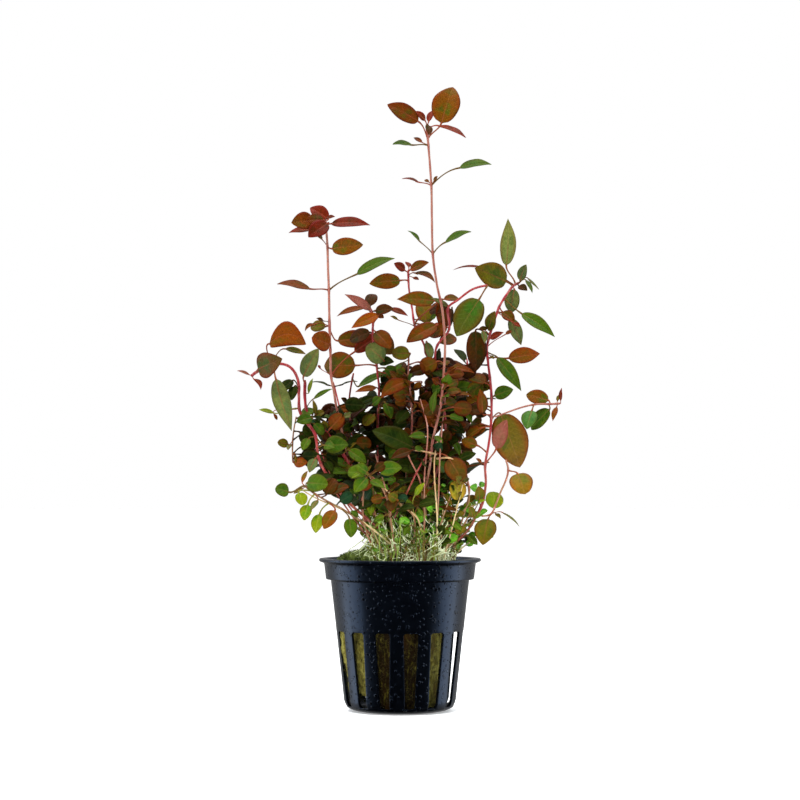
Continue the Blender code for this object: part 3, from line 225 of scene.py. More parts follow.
@dataclass(frozen=True)
class LeafSkin(Finish):
    """Living leaf blade under a thin waxy cuticle: satin, veined, paler and pinker underneath.

    The blade attribute holds millimetres out from the midrib, millimetres along it and the share
    of the half width. The skin attribute holds a shade for the whole leaf, the underside and the
    share of the length.
    """

    face: str
    margin: str
    vein: str
    under: str
    patch: str
    rib: str = "#7e3a26"
    sheen: float = 0.08

    def paint(self, tree: Tree) -> dict[str, Any]:
        """Wire veins, margin, patches and underside.

        Args:
            tree: The material's tree.

        Returns:
            What the shader's inputs get.
        """
        out, along, edge = add(tree, Kind.SPLIT, add(tree, Kind.BLADE_MARK)).node.outputs
        shade, underside, share = add(tree, Kind.SPLIT, add(tree, Kind.SKIN_MARK)).node.outputs
        side = add(tree, Kind.SIZE, out)
        place = add(tree, Kind.PLACE)
        cloud = add(tree, Kind.NOISE, place, scale_of(4.5), 3.0, 0.55)
        fleck = add(tree, Kind.NOISE, place, scale_of(0.8), 2.0, 0.55)
        # A midrib of 0.4 mm and side veins that leave it every 1.9 mm, one pixel or two in the photo
        midrib = add(tree, Kind.EASE, side, 0.10, 0.34, 1.0, 0.0)
        slant = add(tree, Kind.PLUS, along, add(tree, Kind.TIMES, side, -0.85))
        crest = add(tree, Kind.EASE, add(tree, Kind.ZIGZAG, slant, 0.95), 0.05, 0.30, 1.0, 0.0)
        ribs = add(tree, Kind.TIMES, crest, add(tree, Kind.EASE, edge, 0.55, 0.98, 1.0, 0.0))
        veins = add(tree, Kind.LARGER, midrib, add(tree, Kind.TIMES, ribs, 0.45))
        # The midrib is reddest near the petiole, and the petiole is wholly red
        petiole = add(tree, Kind.EASE, edge, -0.6, -0.1, 1.0, 0.0)
        fade = add(tree, Kind.EASE, share, 0.1, 0.9, 0.45, 0.0)
        blush = add(tree, Kind.LARGER, add(tree, Kind.TIMES, midrib, fade), petiole)
        point = add(tree, Kind.TIMES, add(tree, Kind.EASE, share, 0.5, 1.0), 0.6)
        rim = add(tree, Kind.LARGER, add(tree, Kind.EASE, edge, 0.45, 1.0), point)
        colour = add(tree, Kind.LAY, add(tree, Kind.EASE, cloud, 0.43, 0.60), self.face, self.patch)
        colour = add(tree, Kind.LAY, add(tree, Kind.TIMES, rim, 0.75), colour, self.margin)
        colour = add(tree, Kind.LAY, add(tree, Kind.TIMES, veins, 0.30), colour, self.vein)
        colour = add(tree, Kind.STAIN, add(tree, Kind.EASE, fleck, 0.35, 0.75, 0.0, 0.25), colour, self.patch)
        colour = add(tree, Kind.LAY, add(tree, Kind.TIMES, underside, 0.8), colour, self.under)
        colour = add(tree, Kind.LAY, add(tree, Kind.TIMES, blush, 0.8), colour, self.rib)
        lit = add(tree, Kind.PLUS, 1.0, add(tree, Kind.TIMES, shade, 0.18))
        relief = add(tree, Kind.MINUS, add(tree, Kind.TIMES, fleck, 0.35), veins)
        return {"Base Color": add(tree, Kind.BRIGHTEN, colour, lit), "Specular IOR Level": self.sheen,
                "Roughness": add(tree, Kind.EASE, fleck, 0.2, 0.8, 0.40, 0.56),
                "Normal": add(tree, Kind.BUMP, relief, 0.12 * MM, 0.7)}


@dataclass(frozen=True)
class StemSkin(Finish):
    """Smooth fleshy stem skin: translucent salmon or red, paler and duller towards the root."""

    high: str
    low: str
    joint: str

    def paint(self, tree: Tree) -> dict[str, Any]:
        """Wire the fade to the foot, the red joints and the faint length-wise streaks.

        Args:
            tree: The material's tree.

        Returns:
            What the shader's inputs get.
        """
        place = add(tree, Kind.PLACE)
        height = add(tree, Kind.SPLIT, place).node.outputs["Z"]
        streak = add(tree, Kind.NOISE, add(tree, Kind.STRETCH, place, (1.0, 1.0, 0.15)), scale_of(0.9), 3.0, 0.55)
        cloud = add(tree, Kind.NOISE, place, scale_of(7.0), 3.0, 0.55)
        colour = add(tree, Kind.LAY, add(tree, Kind.EASE, height, 0.056, 0.100), self.low, self.high)
        colour = add(tree, Kind.LAY, add(tree, Kind.EASE, cloud, 0.4, 0.7, 0.0, 0.55), colour, self.joint)
        colour = add(tree, Kind.LAY, add(tree, Kind.TIMES, add(tree, Kind.KNOT_MARK), 0.7), colour, self.joint)
        colour = add(tree, Kind.LAY, add(tree, Kind.EASE, streak, 0.45, 0.75, 0.0, 0.3), colour, "#c9a08c")
        return {"Base Color": colour, "Normal": add(tree, Kind.BUMP, streak, 0.06 * MM, 0.5), "Roughness": 0.42,
                "Specular IOR Level": 0.25, "Subsurface Weight": 0.12, "Subsurface Radius": (0.0012, 0.0005, 0.0004),
                "Subsurface Scale": 1.0}


@dataclass(frozen=True)
class MouldedPolypropylene(Finish):
    """Injection-moulded black polypropylene: satin, with faint ripples and fine standing beads of wet."""

    colour: str

    def paint(self, tree: Tree) -> dict[str, Any]:
        """Wire the moulding ripple, the scuffs and the fine beads.

        Args:
            tree: The material's tree.

        Returns:
            What the shader's inputs get.
        """
        place = add(tree, Kind.PLACE)
        ripple = add(tree, Kind.NOISE, place, scale_of(6.0), 2.0, 0.55)
        grit = add(tree, Kind.NOISE, place, scale_of(0.45), 2.0, 0.55)
        # Standing beads 0.3 to 1.2 mm across, about one in each 1.35 mm
        apart = add(tree, Kind.CELLS, place, scale_of(1.35))
        chance = add(tree, Kind.FIRST_PART, apart.node.outputs["Color"])
        reach = add(tree, Kind.EASE, chance, 0.05, 1.0, 0.10, 0.46)
        bead = add(tree, Kind.EASE, add(tree, Kind.MINUS, reach, apart), 0.0, 0.12)
        rough = add(tree, Kind.LAY, bead, (0.30, 0.30, 0.30, 1.0), (0.07, 0.07, 0.07, 1.0))
        scuff = add(tree, Kind.EASE, grit, 0.4, 0.8, 0.0, 0.35)
        height = add(tree, Kind.PLUS, add(tree, Kind.TIMES, bead, 3.4), add(tree, Kind.TIMES, grit, 0.10))
        height = add(tree, Kind.PLUS, height, ripple)
        dull = add(tree, Kind.EASE, ripple, 0.4, 0.7, 0.0, 0.6)
        return {"Base Color": add(tree, Kind.LAY, dull, self.colour, "#04060b"),
                "Roughness": add(tree, Kind.LAY, scuff, rough, (0.48, 0.48, 0.48, 1.0)),
                "Normal": add(tree, Kind.BUMP, height, 0.10 * MM, 0.8), "Specular IOR Level": 0.42,
                "Specular Tint": (0.46, 0.64, 1.0, 1.0)}


@dataclass(frozen=True)
class MineralWool(Finish):
    """Spun mineral wool wet with feed and grown with algae: matt, coarse, olive with brown hollows."""

    pale: str
    deep: str
    rust: str

    def paint(self, tree: Tree) -> dict[str, Any]:
        """Wire the slanted strands, the stains and the pits.

        Args:
            tree: The material's tree.

        Returns:
            What the shader's inputs get.
        """
        place = add(tree, Kind.PLACE)
        leaning = add(tree, Kind.STRETCH, place, (1.0, 1.0, 0.22), (0.25, 0.35, 0.0))
        strand = add(tree, Kind.NOISE, leaning, scale_of(0.9), 5.0, 0.7)
        stain = add(tree, Kind.NOISE, leaning, scale_of(5.0), 3.0, 0.55)
        pit = add(tree, Kind.NOISE, place, scale_of(1.6), 4.0, 0.55)
        # The middle of the front is darker brown and its two sides are paler
        x, y, _ = add(tree, Kind.SPLIT, place).node.outputs
        middle = add(tree, Kind.EASE, add(tree, Kind.SIZE, add(tree, Kind.PLUS, x, 0.0008)), 0.006, 0.0105, 1.0, 0.0)
        darker_front_middle = add(tree, Kind.TIMES, middle, add(tree, Kind.EASE, y, -0.012, -0.004, 1.0, 0.0))
        colour = add(tree, Kind.LAY, add(tree, Kind.EASE, strand, 0.36, 0.64), self.deep, self.pale)
        dark = add(tree, Kind.LAY, add(tree, Kind.EASE, strand, 0.50, 0.66), "#1d1203", "#4d4714")
        colour = add(tree, Kind.LAY, darker_front_middle, colour, dark)
        colour = add(tree, Kind.LAY, add(tree, Kind.EASE, stain, 0.50, 0.70, 0.0, 0.6), colour, self.rust)
        colour = add(tree, Kind.LAY, add(tree, Kind.EASE, pit, 0.30, 0.48, 0.7, 0.0), colour, "#1c1706")
        height = add(tree, Kind.PLUS, strand, add(tree, Kind.TIMES, pit, 0.8))
        return {"Base Color": colour, "Normal": add(tree, Kind.BUMP, height, 0.55 * MM, 0.9), "Roughness": 0.92,
                "Specular IOR Level": 0.15}


@dataclass(frozen=True)
class PlainGrowth(Finish):
    """Fine soft growth, such as moss, loose fibres and hair roots: matt and mottled."""

    pale: str
    deep: str
    patch_mm: float
    rough: float

    def paint(self, tree: Tree) -> dict[str, Any]:
        """Wire the mottle.

        Args:
            tree: The material's tree.

        Returns:
            What the shader's inputs get.
        """
        place = add(tree, Kind.PLACE)
        patch = add(tree, Kind.EASE, add(tree, Kind.NOISE, place, scale_of(self.patch_mm), 3.0, 0.55), 0.38, 0.62)
        fleck = add(tree, Kind.EASE, add(tree, Kind.NOISE, place, scale_of(0.5), 2.0, 0.55), 0.4, 0.75, 0.0, 0.45)
        colour = add(tree, Kind.STAIN, fleck, add(tree, Kind.LAY, patch, self.deep, self.pale), self.deep)
        return {"Base Color": colour, "Roughness": self.rough, "Specular IOR Level": 0.25}


@dataclass(frozen=True)
class MattPaper(Finish):
    """Seamless white studio paper: matt, with a faint tooth and a faint glow of its own."""

    colour: str

    def paint(self, tree: Tree) -> dict[str, Any]:
        """Wire a barely seen tooth.

        Args:
            tree: The material's tree.

        Returns:
            What the shader's inputs get.
        """
        grain = add(tree, Kind.NOISE, add(tree, Kind.PLACE), scale_of(30.0), 3.0, 0.55)
        tooth = add(tree, Kind.EASE, grain, 0.3, 0.7, 0.0, 0.12)
        return {"Base Color": add(tree, Kind.LAY, tooth, self.colour, "#f4f4f2"), "Roughness": 0.95,
                "Emission Color": self.colour, "Emission Strength": 0.37}


# Plans


class Tint(Enum):
    """The colours that the leaves come in, with the record slot of each."""

    RUST = ("rust_leaf", LeafSkin("leaf_rust_red", "#632e03", "#5c1602", "#784416", "#6c3a18", "#4c3a04"))
    CRIMSON = ("crimson_leaf", LeafSkin("leaf_dark_crimson", "#621c06", "#6a120c", "#7c3624", "#783022", "#482004"))
    UMBER = ("umber_leaf", LeafSkin("leaf_deep_umber", "#3e2202", "#4a1803", "#583414", "#5a3018", "#272704",
                                    rib="#46200e"))
    ORANGE = ("orange_leaf", LeafSkin("leaf_orange_brown", "#7c3c02", "#7e2802", "#925020", "#884622", "#6a4204"))
    TAWNY = ("orange_leaf", LeafSkin("leaf_tawny_brown", "#542c02", "#5c1e02", "#683a14", "#5e3418", "#443604"))
    BRONZE = ("bronze_leaf", LeafSkin("leaf_bronze", "#643a04", "#702c04", "#7a541a", "#704a24", "#484808"))
    COCOA = ("bronze_leaf", LeafSkin("leaf_cocoa_bronze", "#4c3006", "#561e04", "#62441a", "#583c1e", "#36340a"))
    AMBER = ("orange_leaf", LeafSkin("leaf_amber_olive", "#72560e", "#7c3c0a", "#86682c", "#7c5e30", "#565610"))
    MUD = ("olive_leaf", LeafSkin("leaf_brown_olive", "#4a360a", "#64240a", "#5e4620", "#5a4424", "#34400c"))
    RED_EDGED = ("olive_leaf", LeafSkin("leaf_red_edged_olive", "#6c5c16", "#86380e", "#927038", "#866a3a", "#50561a"))
    OLIVE = ("olive_leaf", LeafSkin("leaf_olive", "#504e08", "#623c08", "#6c4020", "#5e5828", "#38460a", rib="#6c3a1e"))
    GREY = ("grey_leaf", LeafSkin("leaf_grey_green", "#5c6430", "#545426", "#765036", "#6e7442", "#485a2e"))
    JADE = ("grey_leaf", LeafSkin("leaf_jade_green", "#3e6426", "#465818", "#5a7a40", "#5e7640", "#2c541e"))
    SAGE = ("green_leaf", LeafSkin("leaf_sage_green", "#6a7434", "#74602c", "#86884e", "#7c7e4a", "#54642a"))
    GREEN = ("green_leaf", LeafSkin("leaf_fresh_green", "#3c5408", "#464808", "#587026", "#566828", "#2c4c0a",
                                    rib="#624020"))
    TEAL = ("dark_leaf", LeafSkin("leaf_teal_green", "#1a3a22", "#203014", "#2c4c30", "#32482c", "#12301a",
                                  rib="#34301c"))
    DARK = ("dark_leaf", LeafSkin("leaf_dark_green", "#202c05", "#2c2803", "#384a1c", "#343c18", "#142204",
                                  rib="#3a220e", sheen=0.05))
    MOSSY = ("dark_leaf", LeafSkin("leaf_moss_green", "#3e4a10", "#523408", "#586a2c", "#4e5424", "#30500e",
                                   rib="#6a3a1e"))
    LIME = ("green_leaf", LeafSkin("leaf_lime", "#627008", "#6c6a0a", "#849030", "#7a8436", "#4a6a0c", rib="#6e6a2a"))
    FRESH = ("green_leaf", LeafSkin("leaf_bright_green", "#579a20", "#688c1c", "#86b044", "#7aa046", "#3f8218",
                                    rib="#8a9a48"))
    STRAW = ("bronze_leaf", LeafSkin("leaf_yellowing_straw", "#a88c28", "#96701a", "#bca656", "#a8944a", "#84801e"))
    SHADED = ("umber_leaf", LeafSkin("leaf_shaded_umber", "#2a1003", "#361004", "#3c2410", "#341c10", "#1c1a04",
                                     rib="#2e1208", sheen=0.03))
    SHADED_GREEN = ("dark_leaf", LeafSkin("leaf_shaded_green", "#172305", "#242006", "#2a3a18", "#283018", "#101c04",
                                          rib="#281a0a", sheen=0.03))
    PINK = ("pink_leaf", LeafSkin("leaf_pink_underside", "#7e463a", "#723428", "#8e5c50", "#80503e", "#744a36"))

    @property
    def slot(self) -> str:
        """The record's material slot."""
        return self.value[0]

    @property
    def finish(self) -> LeafSkin:
        """The leaf finish."""
        return self.value[1]


class Bark(Enum):
    """The colours that the stems come in, with the record slot of each."""

    PINK = ("pink_stem", StemSkin("stem_salmon_pink", "#966252", "#7c6440", "#843c36"))
    RED = ("red_stem", StemSkin("stem_saturated_red", "#9c2c32", "#72442e", "#741a22"))
    PALE = ("pale_stem", StemSkin("stem_pale_beige", "#86603a", "#7c6c44", "#70422a"))
    YOUNG = ("pale_stem", StemSkin("stem_young_straw", "#b08c60", "#b8a878", "#8c5c40"))

    @property
    def slot(self) -> str:
        """The record's material slot."""
        return self.value[0]

    @property
    def finish(self) -> StemSkin:
        """The stem finish."""
        return self.value[1]


class LeafPlan(NamedTuple):
    """A leaf as it is seen from the front, in millimetres and degrees."""

    joint: Pair
    base: Pair
    tip: Pair
    width: float
    roll: float
    lean: float
    tint: Tint
    node: str = ""
    sweep: float = 0.0


class PairPlan(NamedTuple):
    """Opposite leaf pairs up a stem, each pair turned a quarter from the last."""

    low: float
    high: float
    count: int
    size: float
    turn: float
    tint: Tint


class StemPlan(NamedTuple):
    """A stem from its foot to its tip, with the leaves that it carries."""

    node: str
    route: Route
    foot_width: float
    tip_width: float
    bark: Bark
    leaves: tuple[LeafPlan, ...]
    pairs: tuple[PairPlan, ...] = ()


STEMS = (
    StemPlan("stem_tall", (
        (3.8, None, 5), (5.3, 58.5, 8), (8.6, 65.3, 12), (8.8, 75, 14), (10.3, 84.5, 15), (11.3, 93, 15),
        (13.4, 101.7, 14), (14.5, 109, 13), (15.2, 118, 11), (15.5, 126, 10), (14.6, 137.5, 9),
        (12.7, 146.6, 9), (11.3, 157, 10), (11, 169, 11), (10.8, 180.7, 12), (9.8, 194.5, 13),
        (9.2, 201, 13)), 1.7, 1, Bark.PINK, (
        LeafPlan((9.7, 196.4), (14.3, 202.3), (18.2, 215), 9.8, 12, -2, Tint.BRONZE, "leaf_top_right"),
        LeafPlan((9.6, 197.2), (6.2, 202.9), (-4.3, 208.9), 6.2, 20, 3, Tint.RUST, "leaf_top_left"),
        LeafPlan((9.3, 200.4), (13.5, 201.3), (23, 197.7), 5, 70, 8, Tint.CRIMSON, "leaf_top_falling", sweep=1.2),
        LeafPlan((9.3, 200.4), (8.6, 203.2), (5.6, 206.5), 2.6, 35, 2, Tint.CRIMSON),
        LeafPlan((9.3, 200.4), (9.9, 202.8), (11.6, 207), 2.6, 35, -4, Tint.CRIMSON),
        LeafPlan((9.3, 200.4), (9.6, 201.6), (10, 198.2), 2.8, 30, 7, Tint.UMBER),
        LeafPlan((9.8, 194.5), (4, 194.7), (-2.6, 195.2), 3.6, 62, 3, Tint.GREEN),
        LeafPlan((9.8, 194.5), (7.6, 195.6), (4.6, 197.4), 1.6, 30, -4, Tint.RUST),
        LeafPlan((10.8, 180.7), (20.6, 186.8), (31.6, 188.4), 5.2, 58, 4, Tint.GREEN, "leaf_high_right"),
        LeafPlan((10.8, 180.7), (6.2, 181.9), (0.6, 183.3), 3, 78, -3, Tint.CRIMSON),
        LeafPlan((10.8, 180.9), (9.9, 181.9), (8.4, 182.7), 1.3, 30, -2, Tint.RUST),
        LeafPlan((10.8, 180.9), (11.7, 182.2), (12.9, 184), 1.3, 30, 2, Tint.RUST),
        LeafPlan((11.3, 157), (15.7, 161.1), (24.5, 165.1), 4.4, 58, 4, Tint.GREEN),
        LeafPlan((11.3, 157), (6.6, 161.6), (2.7, 165.3), 2.4, 60, -3, Tint.GREEN),
        LeafPlan((13, 141.3), (15.2, 141.4), (20.8, 141.6), 3.2, 40, -6, Tint.RUST),
        LeafPlan((13.9, 104.5), (11.2, 102.6), (12.5, 110.2), 3.2, 35, 5, Tint.GREEN),
        LeafPlan((11.3, 93), (8.6, 94.4), (3, 94.2), 2.9, 25, 4, Tint.GREEN),
        LeafPlan((11.3, 93), (12, 94.2), (14.8, 91.9), 2.2, 25, 4, Tint.GREEN),
        LeafPlan((10.9, 90.4), (4.3, 90.5), (-9.4, 96.4), 8, 20, 2, Tint.DARK, "leaf_dark_centre"),
        LeafPlan((10.8, 89.3), (3.6, 89.2), (-3.2, 86.7), 3.8, 25, 6, Tint.UMBER),
        LeafPlan((10.7, 88.4), (17, 86.4), (21.4, 78.9), 7.6, 12, 3, Tint.COCOA, "leaf_low_bronze"),
    )),
    StemPlan("stem_left_tall", (
        (-6.5, None, -2), (-9, 62, -2), (-14, 76, 0), (-18.5, 90, 3), (-21.8, 104, 5), (-22.8, 110, 5),
        (-23.7, 115, 5), (-24, 124, 3), (-24.3, 133.5, 0), (-24.5, 144.5, -5), (-24.8, 152, -8),
        (-25, 159.4, -11), (-25.4, 165, -13), (-25.8, 168.6, -14)), 1.7, 1.1, Bark.PINK, (
        LeafPlan((-25.6, 167.5), (-29.8, 168.6), (-37.4, 167.9), 6.4, 15, 2, Tint.RUST, "leaf_left_top_round"),
        LeafPlan((-25.5, 166), (-30.5, 165.4), (-38.6, 164.6), 3.4, 50, -6, Tint.CRIMSON),
        LeafPlan((-25.7, 168.3), (-24.9, 169.2), (-31, 173.2), 5.6, 25, -3, Tint.CRIMSON),
        LeafPlan((-25.7, 168.3), (-25.2, 169.6), (-22.4, 170.0), 1.6, 35, 3, Tint.CRIMSON),
        LeafPlan((-25.4, 167), (-25.0, 167.6), (-31.6, 163), 6.2, 20, 8, Tint.CRIMSON),
        LeafPlan((-25.6, 167.8), (-26.4, 168.8), (-32.4, 168.6), 4.6, 20, 6, Tint.RUST),
        LeafPlan((-25.4, 166.5), (-23.6, 167.5), (-10.3, 167.4), 5, 42, 4, Tint.CRIMSON, "leaf_left_top_red"),
        LeafPlan((-25, 159.4), (-26.9, 162.1), (-29.2, 164.4), 1.8, 40, -3, Tint.BRONZE),
        LeafPlan((-25, 159.4), (-23.4, 158.9), (-12.8, 160.3), 6.2, 10, 3, Tint.BRONZE, "leaf_left_oval"),
        LeafPlan((-24.5, 144.5), (-31.1, 145), (-42.4, 147.1), 5, 58, 3, Tint.RUST, "leaf_left_wing"),
        LeafPlan((-24.5, 144.5), (-14.8, 150.1), (-1.9, 156), 5.6, 50, 3, Tint.GREEN, "leaf_left_wing_right"),
        LeafPlan((-24.3, 131.8), (-25.7, 132), (-31, 131.8), 4.4, 25, -4, Tint.OLIVE),
        LeafPlan((-24.3, 132.5), (-29.2, 132.8), (-32.8, 130.4), 1.8, 40, 2, Tint.RUST, sweep=0.8),
        LeafPlan((-24.3, 133.2), (-26.5, 134), (-28.8, 134.9), 1.4, 30, 3, Tint.UMBER),
        LeafPlan((-24, 124.3), (-24.2, 125.8), (-30.2, 128.2), 7, 15, 3, Tint.ORANGE),
        LeafPlan((-24.2, 130.6), (-21.4, 127.1), (-9.4, 127.8), 6.4, 15, -4, Tint.RUST, "leaf_brown_broad"),
        LeafPlan((-23.7, 115), (-15.6, 123.3), (-4.8, 130.1), 5.4, 25, -1, Tint.CRIMSON, "leaf_purple_long"),
        LeafPlan((-23.7, 115), (-27.4, 117.6), (-28.3, 118.6), 1.2, 40, 2, Tint.CRIMSON),
    )),
    StemPlan("stem_middle", (
        (1, None, -6), (3, 62, -6), (7, 80, -5), (10, 97, -3), (8.6, 105, -2), (9.5, 112, 0),
        (10.2, 119, 1), (8.8, 123, 2), (8.2, 126, 2), (5.2, 132, 0), (4.2, 138, -2), (3.1, 145, -4),
        (2.8, 151.5, -6)), 1.5, 0.9, Bark.RED, (
        LeafPlan((2.8, 150.6), (1.6, 151.4), (-2, 153.9), 3.2, 25, 2, Tint.CRIMSON),
        LeafPlan((2.8, 150.6), (3.6, 151.6), (9.8, 154.3), 3.6, 30, 3, Tint.RUST),
        LeafPlan((2.8, 149.8), (5, 150.5), (12.1, 147.3), 2.6, 40, 5, Tint.RUST, sweep=-1.2),
        LeafPlan((2.8, 149.6), (4.6, 148.9), (6.5, 148.2), 1.4, 30, 3, Tint.CRIMSON),
        LeafPlan((2.8, 150.6), (3, 152.6), (2.4, 154.4), 2.4, 40, -4, Tint.CRIMSON),
        LeafPlan((2.9, 148), (0, 147.9), (-10.5, 146.9), 5.6, 12, 3, Tint.BRONZE, "leaf_middle_oval"),
        LeafPlan((4.8, 134.2), (10.6, 134.6), (12.6, 136.2), 2, 30, 4, Tint.GREEN),
        LeafPlan((5.2, 132.6), (11.8, 140.9), (-1, 141.6), 5.6, 18, 9, Tint.BRONZE, "leaf_middle_broad"),
        LeafPlan((4.9, 132.6), (9.2, 133.2), (7.6, 140.8), 7, 20, -7, Tint.AMBER),
        LeafPlan((5.2, 132), (12.6, 132.4), (2.2, 126.8), 6.2, 25, 8, Tint.RUST, "leaf_middle_pointed"),
        LeafPlan((5.2, 132), (-0.8, 134.4), (-3.4, 135.7), 1.3, 40, 2, Tint.OLIVE),
        LeafPlan((8.8, 123), (9.2, 126.6), (10.6, 120), 3.4, 30, 4, Tint.GREY),
        LeafPlan((10.2, 119), (9.3, 117.6), (2.8, 115.6), 4.4, 25, 3, Tint.UMBER),
        LeafPlan((10.1, 118), (13.6, 123.8), (12.8, 119.4), 2.8, 30, -4, Tint.DARK),
        LeafPlan((9.6, 113), (12.2, 118), (11.6, 108.4), 4.6, 30, -6, Tint.BRONZE),
        LeafPlan((9.3, 110.5), (7.2, 111.4), (7.6, 104.6), 2.6, 30, 2, Tint.UMBER),
    )),
    StemPlan("stem_middle_left", (
        (-2.5, None, -1), (-4.5, 62, -2), (-7.5, 82, -4), (-7.6, 100, -2), (-7.2, 110, 0), (-7.8, 116, 3),
        (-8.1, 119, 5), (-9.1, 126, 9), (-9.4, 130.5, 11), (-9.3, 134, 12), (-10, 138.2, 14)),
        1.5, 0.9, Bark.RED, (
        LeafPlan((-9.9, 137.4), (-10.2, 137.9), (-18.9, 143.2), 3.3, 20, 5, Tint.PINK),
        LeafPlan((-9.9, 137.6), (-10.3, 139.2), (-9.3, 143.4), 4.4, 15, -3, Tint.UMBER),
        LeafPlan((-9.7, 136.6), (-12.4, 138.4), (-22, 135.8), 3.2, 50, -3, Tint.RUST),
        LeafPlan((-9.7, 136.8), (-8.4, 137.4), (-2.3, 138.2), 3.8, 20, 4, Tint.UMBER),
        LeafPlan((-9.7, 136.8), (-3.4, 138.2), (2.8, 135.8), 2.4, 35, 3, Tint.CRIMSON),
        LeafPlan((-9.6, 135.6), (-7.5, 135.8), (-5.6, 135), 2, 30, 3, Tint.RUST),
        LeafPlan((-9.4, 133), (-7.4, 136), (-16.8, 131.6), 4.2, 20, 5, Tint.ORANGE),
        LeafPlan((-9.4, 131.2), (-8.4, 130.2), (-3.2, 124.6), 5.8, 15, 5, Tint.TAWNY, "leaf_orange_centre"),
        LeafPlan((-9.2, 128), (-8.6, 128.8), (-2.2, 122.6), 6.6, 15, -5, Tint.BRONZE),
        LeafPlan((-9.3, 129.6), (-10.4, 130), (-17.6, 127.2), 5, 20, -6, Tint.UMBER),
        LeafPlan((-8.1, 119.4), (-5.6, 120.4), (-11.4, 125.4), 7.2, 15, 4, Tint.GREY),
        LeafPlan((-8.1, 118.9), (-7, 119.9), (-2.2, 119.9), 3.6, 20, 6, Tint.DARK),
        LeafPlan((-8.1, 118.6), (-15.4, 118.6), (-26.4, 118.5), 9.4, 8, -8, Tint.BRONZE, "leaf_bronze_round"),
        LeafPlan((-7.3, 109), (-8.2, 111), (-15.4, 109.6), 2.6, 30, 5, Tint.ORANGE),
        LeafPlan((-7.2, 107), (-9.4, 105.2), (-6.6, 107.6), 3.4, 25, 6, Tint.GREEN),
        LeafPlan((-7.6, 103), (-9, 107.6), (-14.4, 105.2), 3.4, 35, 5, Tint.DARK),
        LeafPlan((-7.6, 101), (-5, 105.6), (-3, 100.4), 3.6, 20, 9, Tint.GREEN),
        LeafPlan((-7.6, 97), (-9, 101.5), (-12.4, 98), 4.4, 25, 6, Tint.OLIVE),
    )),
    StemPlan("stem_short_pink", (
        (-1, None, 3), (-0.3, 60, 3), (0.8, 70, 3), (2.4, 83, 4), (3.9, 95, 5), (4.1, 103, 6),
        (3.5, 110, 7), (2.9, 115.5, 7), (3, 121.4, 7)), 1.3, 0.8, Bark.PINK, (
        LeafPlan((3, 121), (3.2, 122.8), (-2.8, 122.6), 5, 12, 4, Tint.OLIVE),
        LeafPlan((3, 120.6), (0.2, 119), (-1.2, 117.2), 2, 30, 4, Tint.GREEN),
        LeafPlan((3, 118), (1.2, 114.8), (-2.6, 117.4), 3.6, 25, -3, Tint.UMBER),
        LeafPlan((3.4, 111.6), (2.8, 113), (-6.8, 107.4), 5.4, 20, 6, Tint.RUST, sweep=1),
        LeafPlan((3.3, 112.6), (7.4, 112.6), (4.6, 110), 2.6, 25, -3, Tint.BRONZE),
        LeafPlan((3.9, 105), (3, 106.4), (-3.8, 103.6), 5.6, 25, -7, Tint.UMBER),
        LeafPlan((4.1, 102), (2.6, 103), (-1.2, 98.8), 4.6, 25, 4, Tint.DARK),
        LeafPlan((4, 97), (6.4, 97.4), (10.6, 101.4), 4.4, 25, -3, Tint.UMBER),
    )),
    StemPlan("stem_short_left", (
        (-9, None, -9), (-11, 70, -9), (-15, 88, -8), (-17.4, 101, -7), (-17.4, 107.5, -6),
        (-16.6, 113, -5), (-16, 116, -5)), 1.3, 0.8, Bark.RED, (
        LeafPlan((-16.4, 114), (-14.2, 111.4), (-3, 116.2), 4.4, 55, 4, Tint.GREEN),
        LeafPlan((-17.4, 105.5), (-18.2, 105.8), (-20.2, 107.4), 2, 30, 3, Tint.UMBER),
        LeafPlan((-17.4, 105), (-16.2, 105.6), (-13.6, 106.2), 2, 30, -3, Tint.BRONZE),
        LeafPlan((-17.4, 103), (-14, 102.6), (-20.8, 100.2), 3, 30, 7, Tint.GREY),
        LeafPlan((-17, 99), (-19, 102.6), (-27.6, 100.8), 4.6, 35, 2, Tint.DARK),
        LeafPlan((-15.8, 92), (-13, 95), (-6.4, 98.6), 5, 30, -4, Tint.DARK),
        LeafPlan((-15.4, 90), (-19.6, 96), (-26, 97.4), 4.4, 35, -4, Tint.UMBER),
    )),
    StemPlan("stem_red_arch", (
        (7, None, -1), (9, 66, -1), (12.6, 82, 0), (15.6, 95, 2), (14.6, 108, 3), (12.2, 120, 4),
        (12.9, 125.6, 4), (16.9, 131, 4), (16.5, 138.2, 5), (20, 141.2, 9), (24, 144.3, 14),
        (27, 145.6, 18), (30.2, 146.2, 21)), 1.5, 1, Bark.RED, (
        LeafPlan((30, 146.2), (27.2, 141.3), (19.4, 128.8), 9.6, 10, 3, Tint.MOSSY, "leaf_arch_green"),
        LeafPlan((16.6, 137.6), (16.3, 139), (10.8, 142), 1.9, 30, 3, Tint.GREY),
        LeafPlan((16.6, 136.8), (14.2, 141), (15.2, 130.6), 5.6, 20, -4, Tint.RUST),
        LeafPlan((16.8, 133), (17.9, 138.2), (17.4, 132), 2.8, 30, -7, Tint.UMBER),
        LeafPlan((16.9, 131), (16.2, 131.8), (9.6, 129), 5.4, 20, -4, Tint.RUST),
        LeafPlan((16.5, 138.2), (15.9, 138.6), (9.8, 137.2), 4.6, 25, -6, Tint.UMBER),
        LeafPlan((12.9, 125.6), (13.8, 126.4), (19.6, 128.4), 4.8, 25, -6, Tint.RUST),
        LeafPlan((13, 117), (17.4, 117.8), (25.8, 116.2), 3.2, 45, 3, Tint.RUST),
        LeafPlan((13.8, 112.6), (16.6, 113.2), (26.2, 116), 3.8, 30, -3, Tint.RUST),
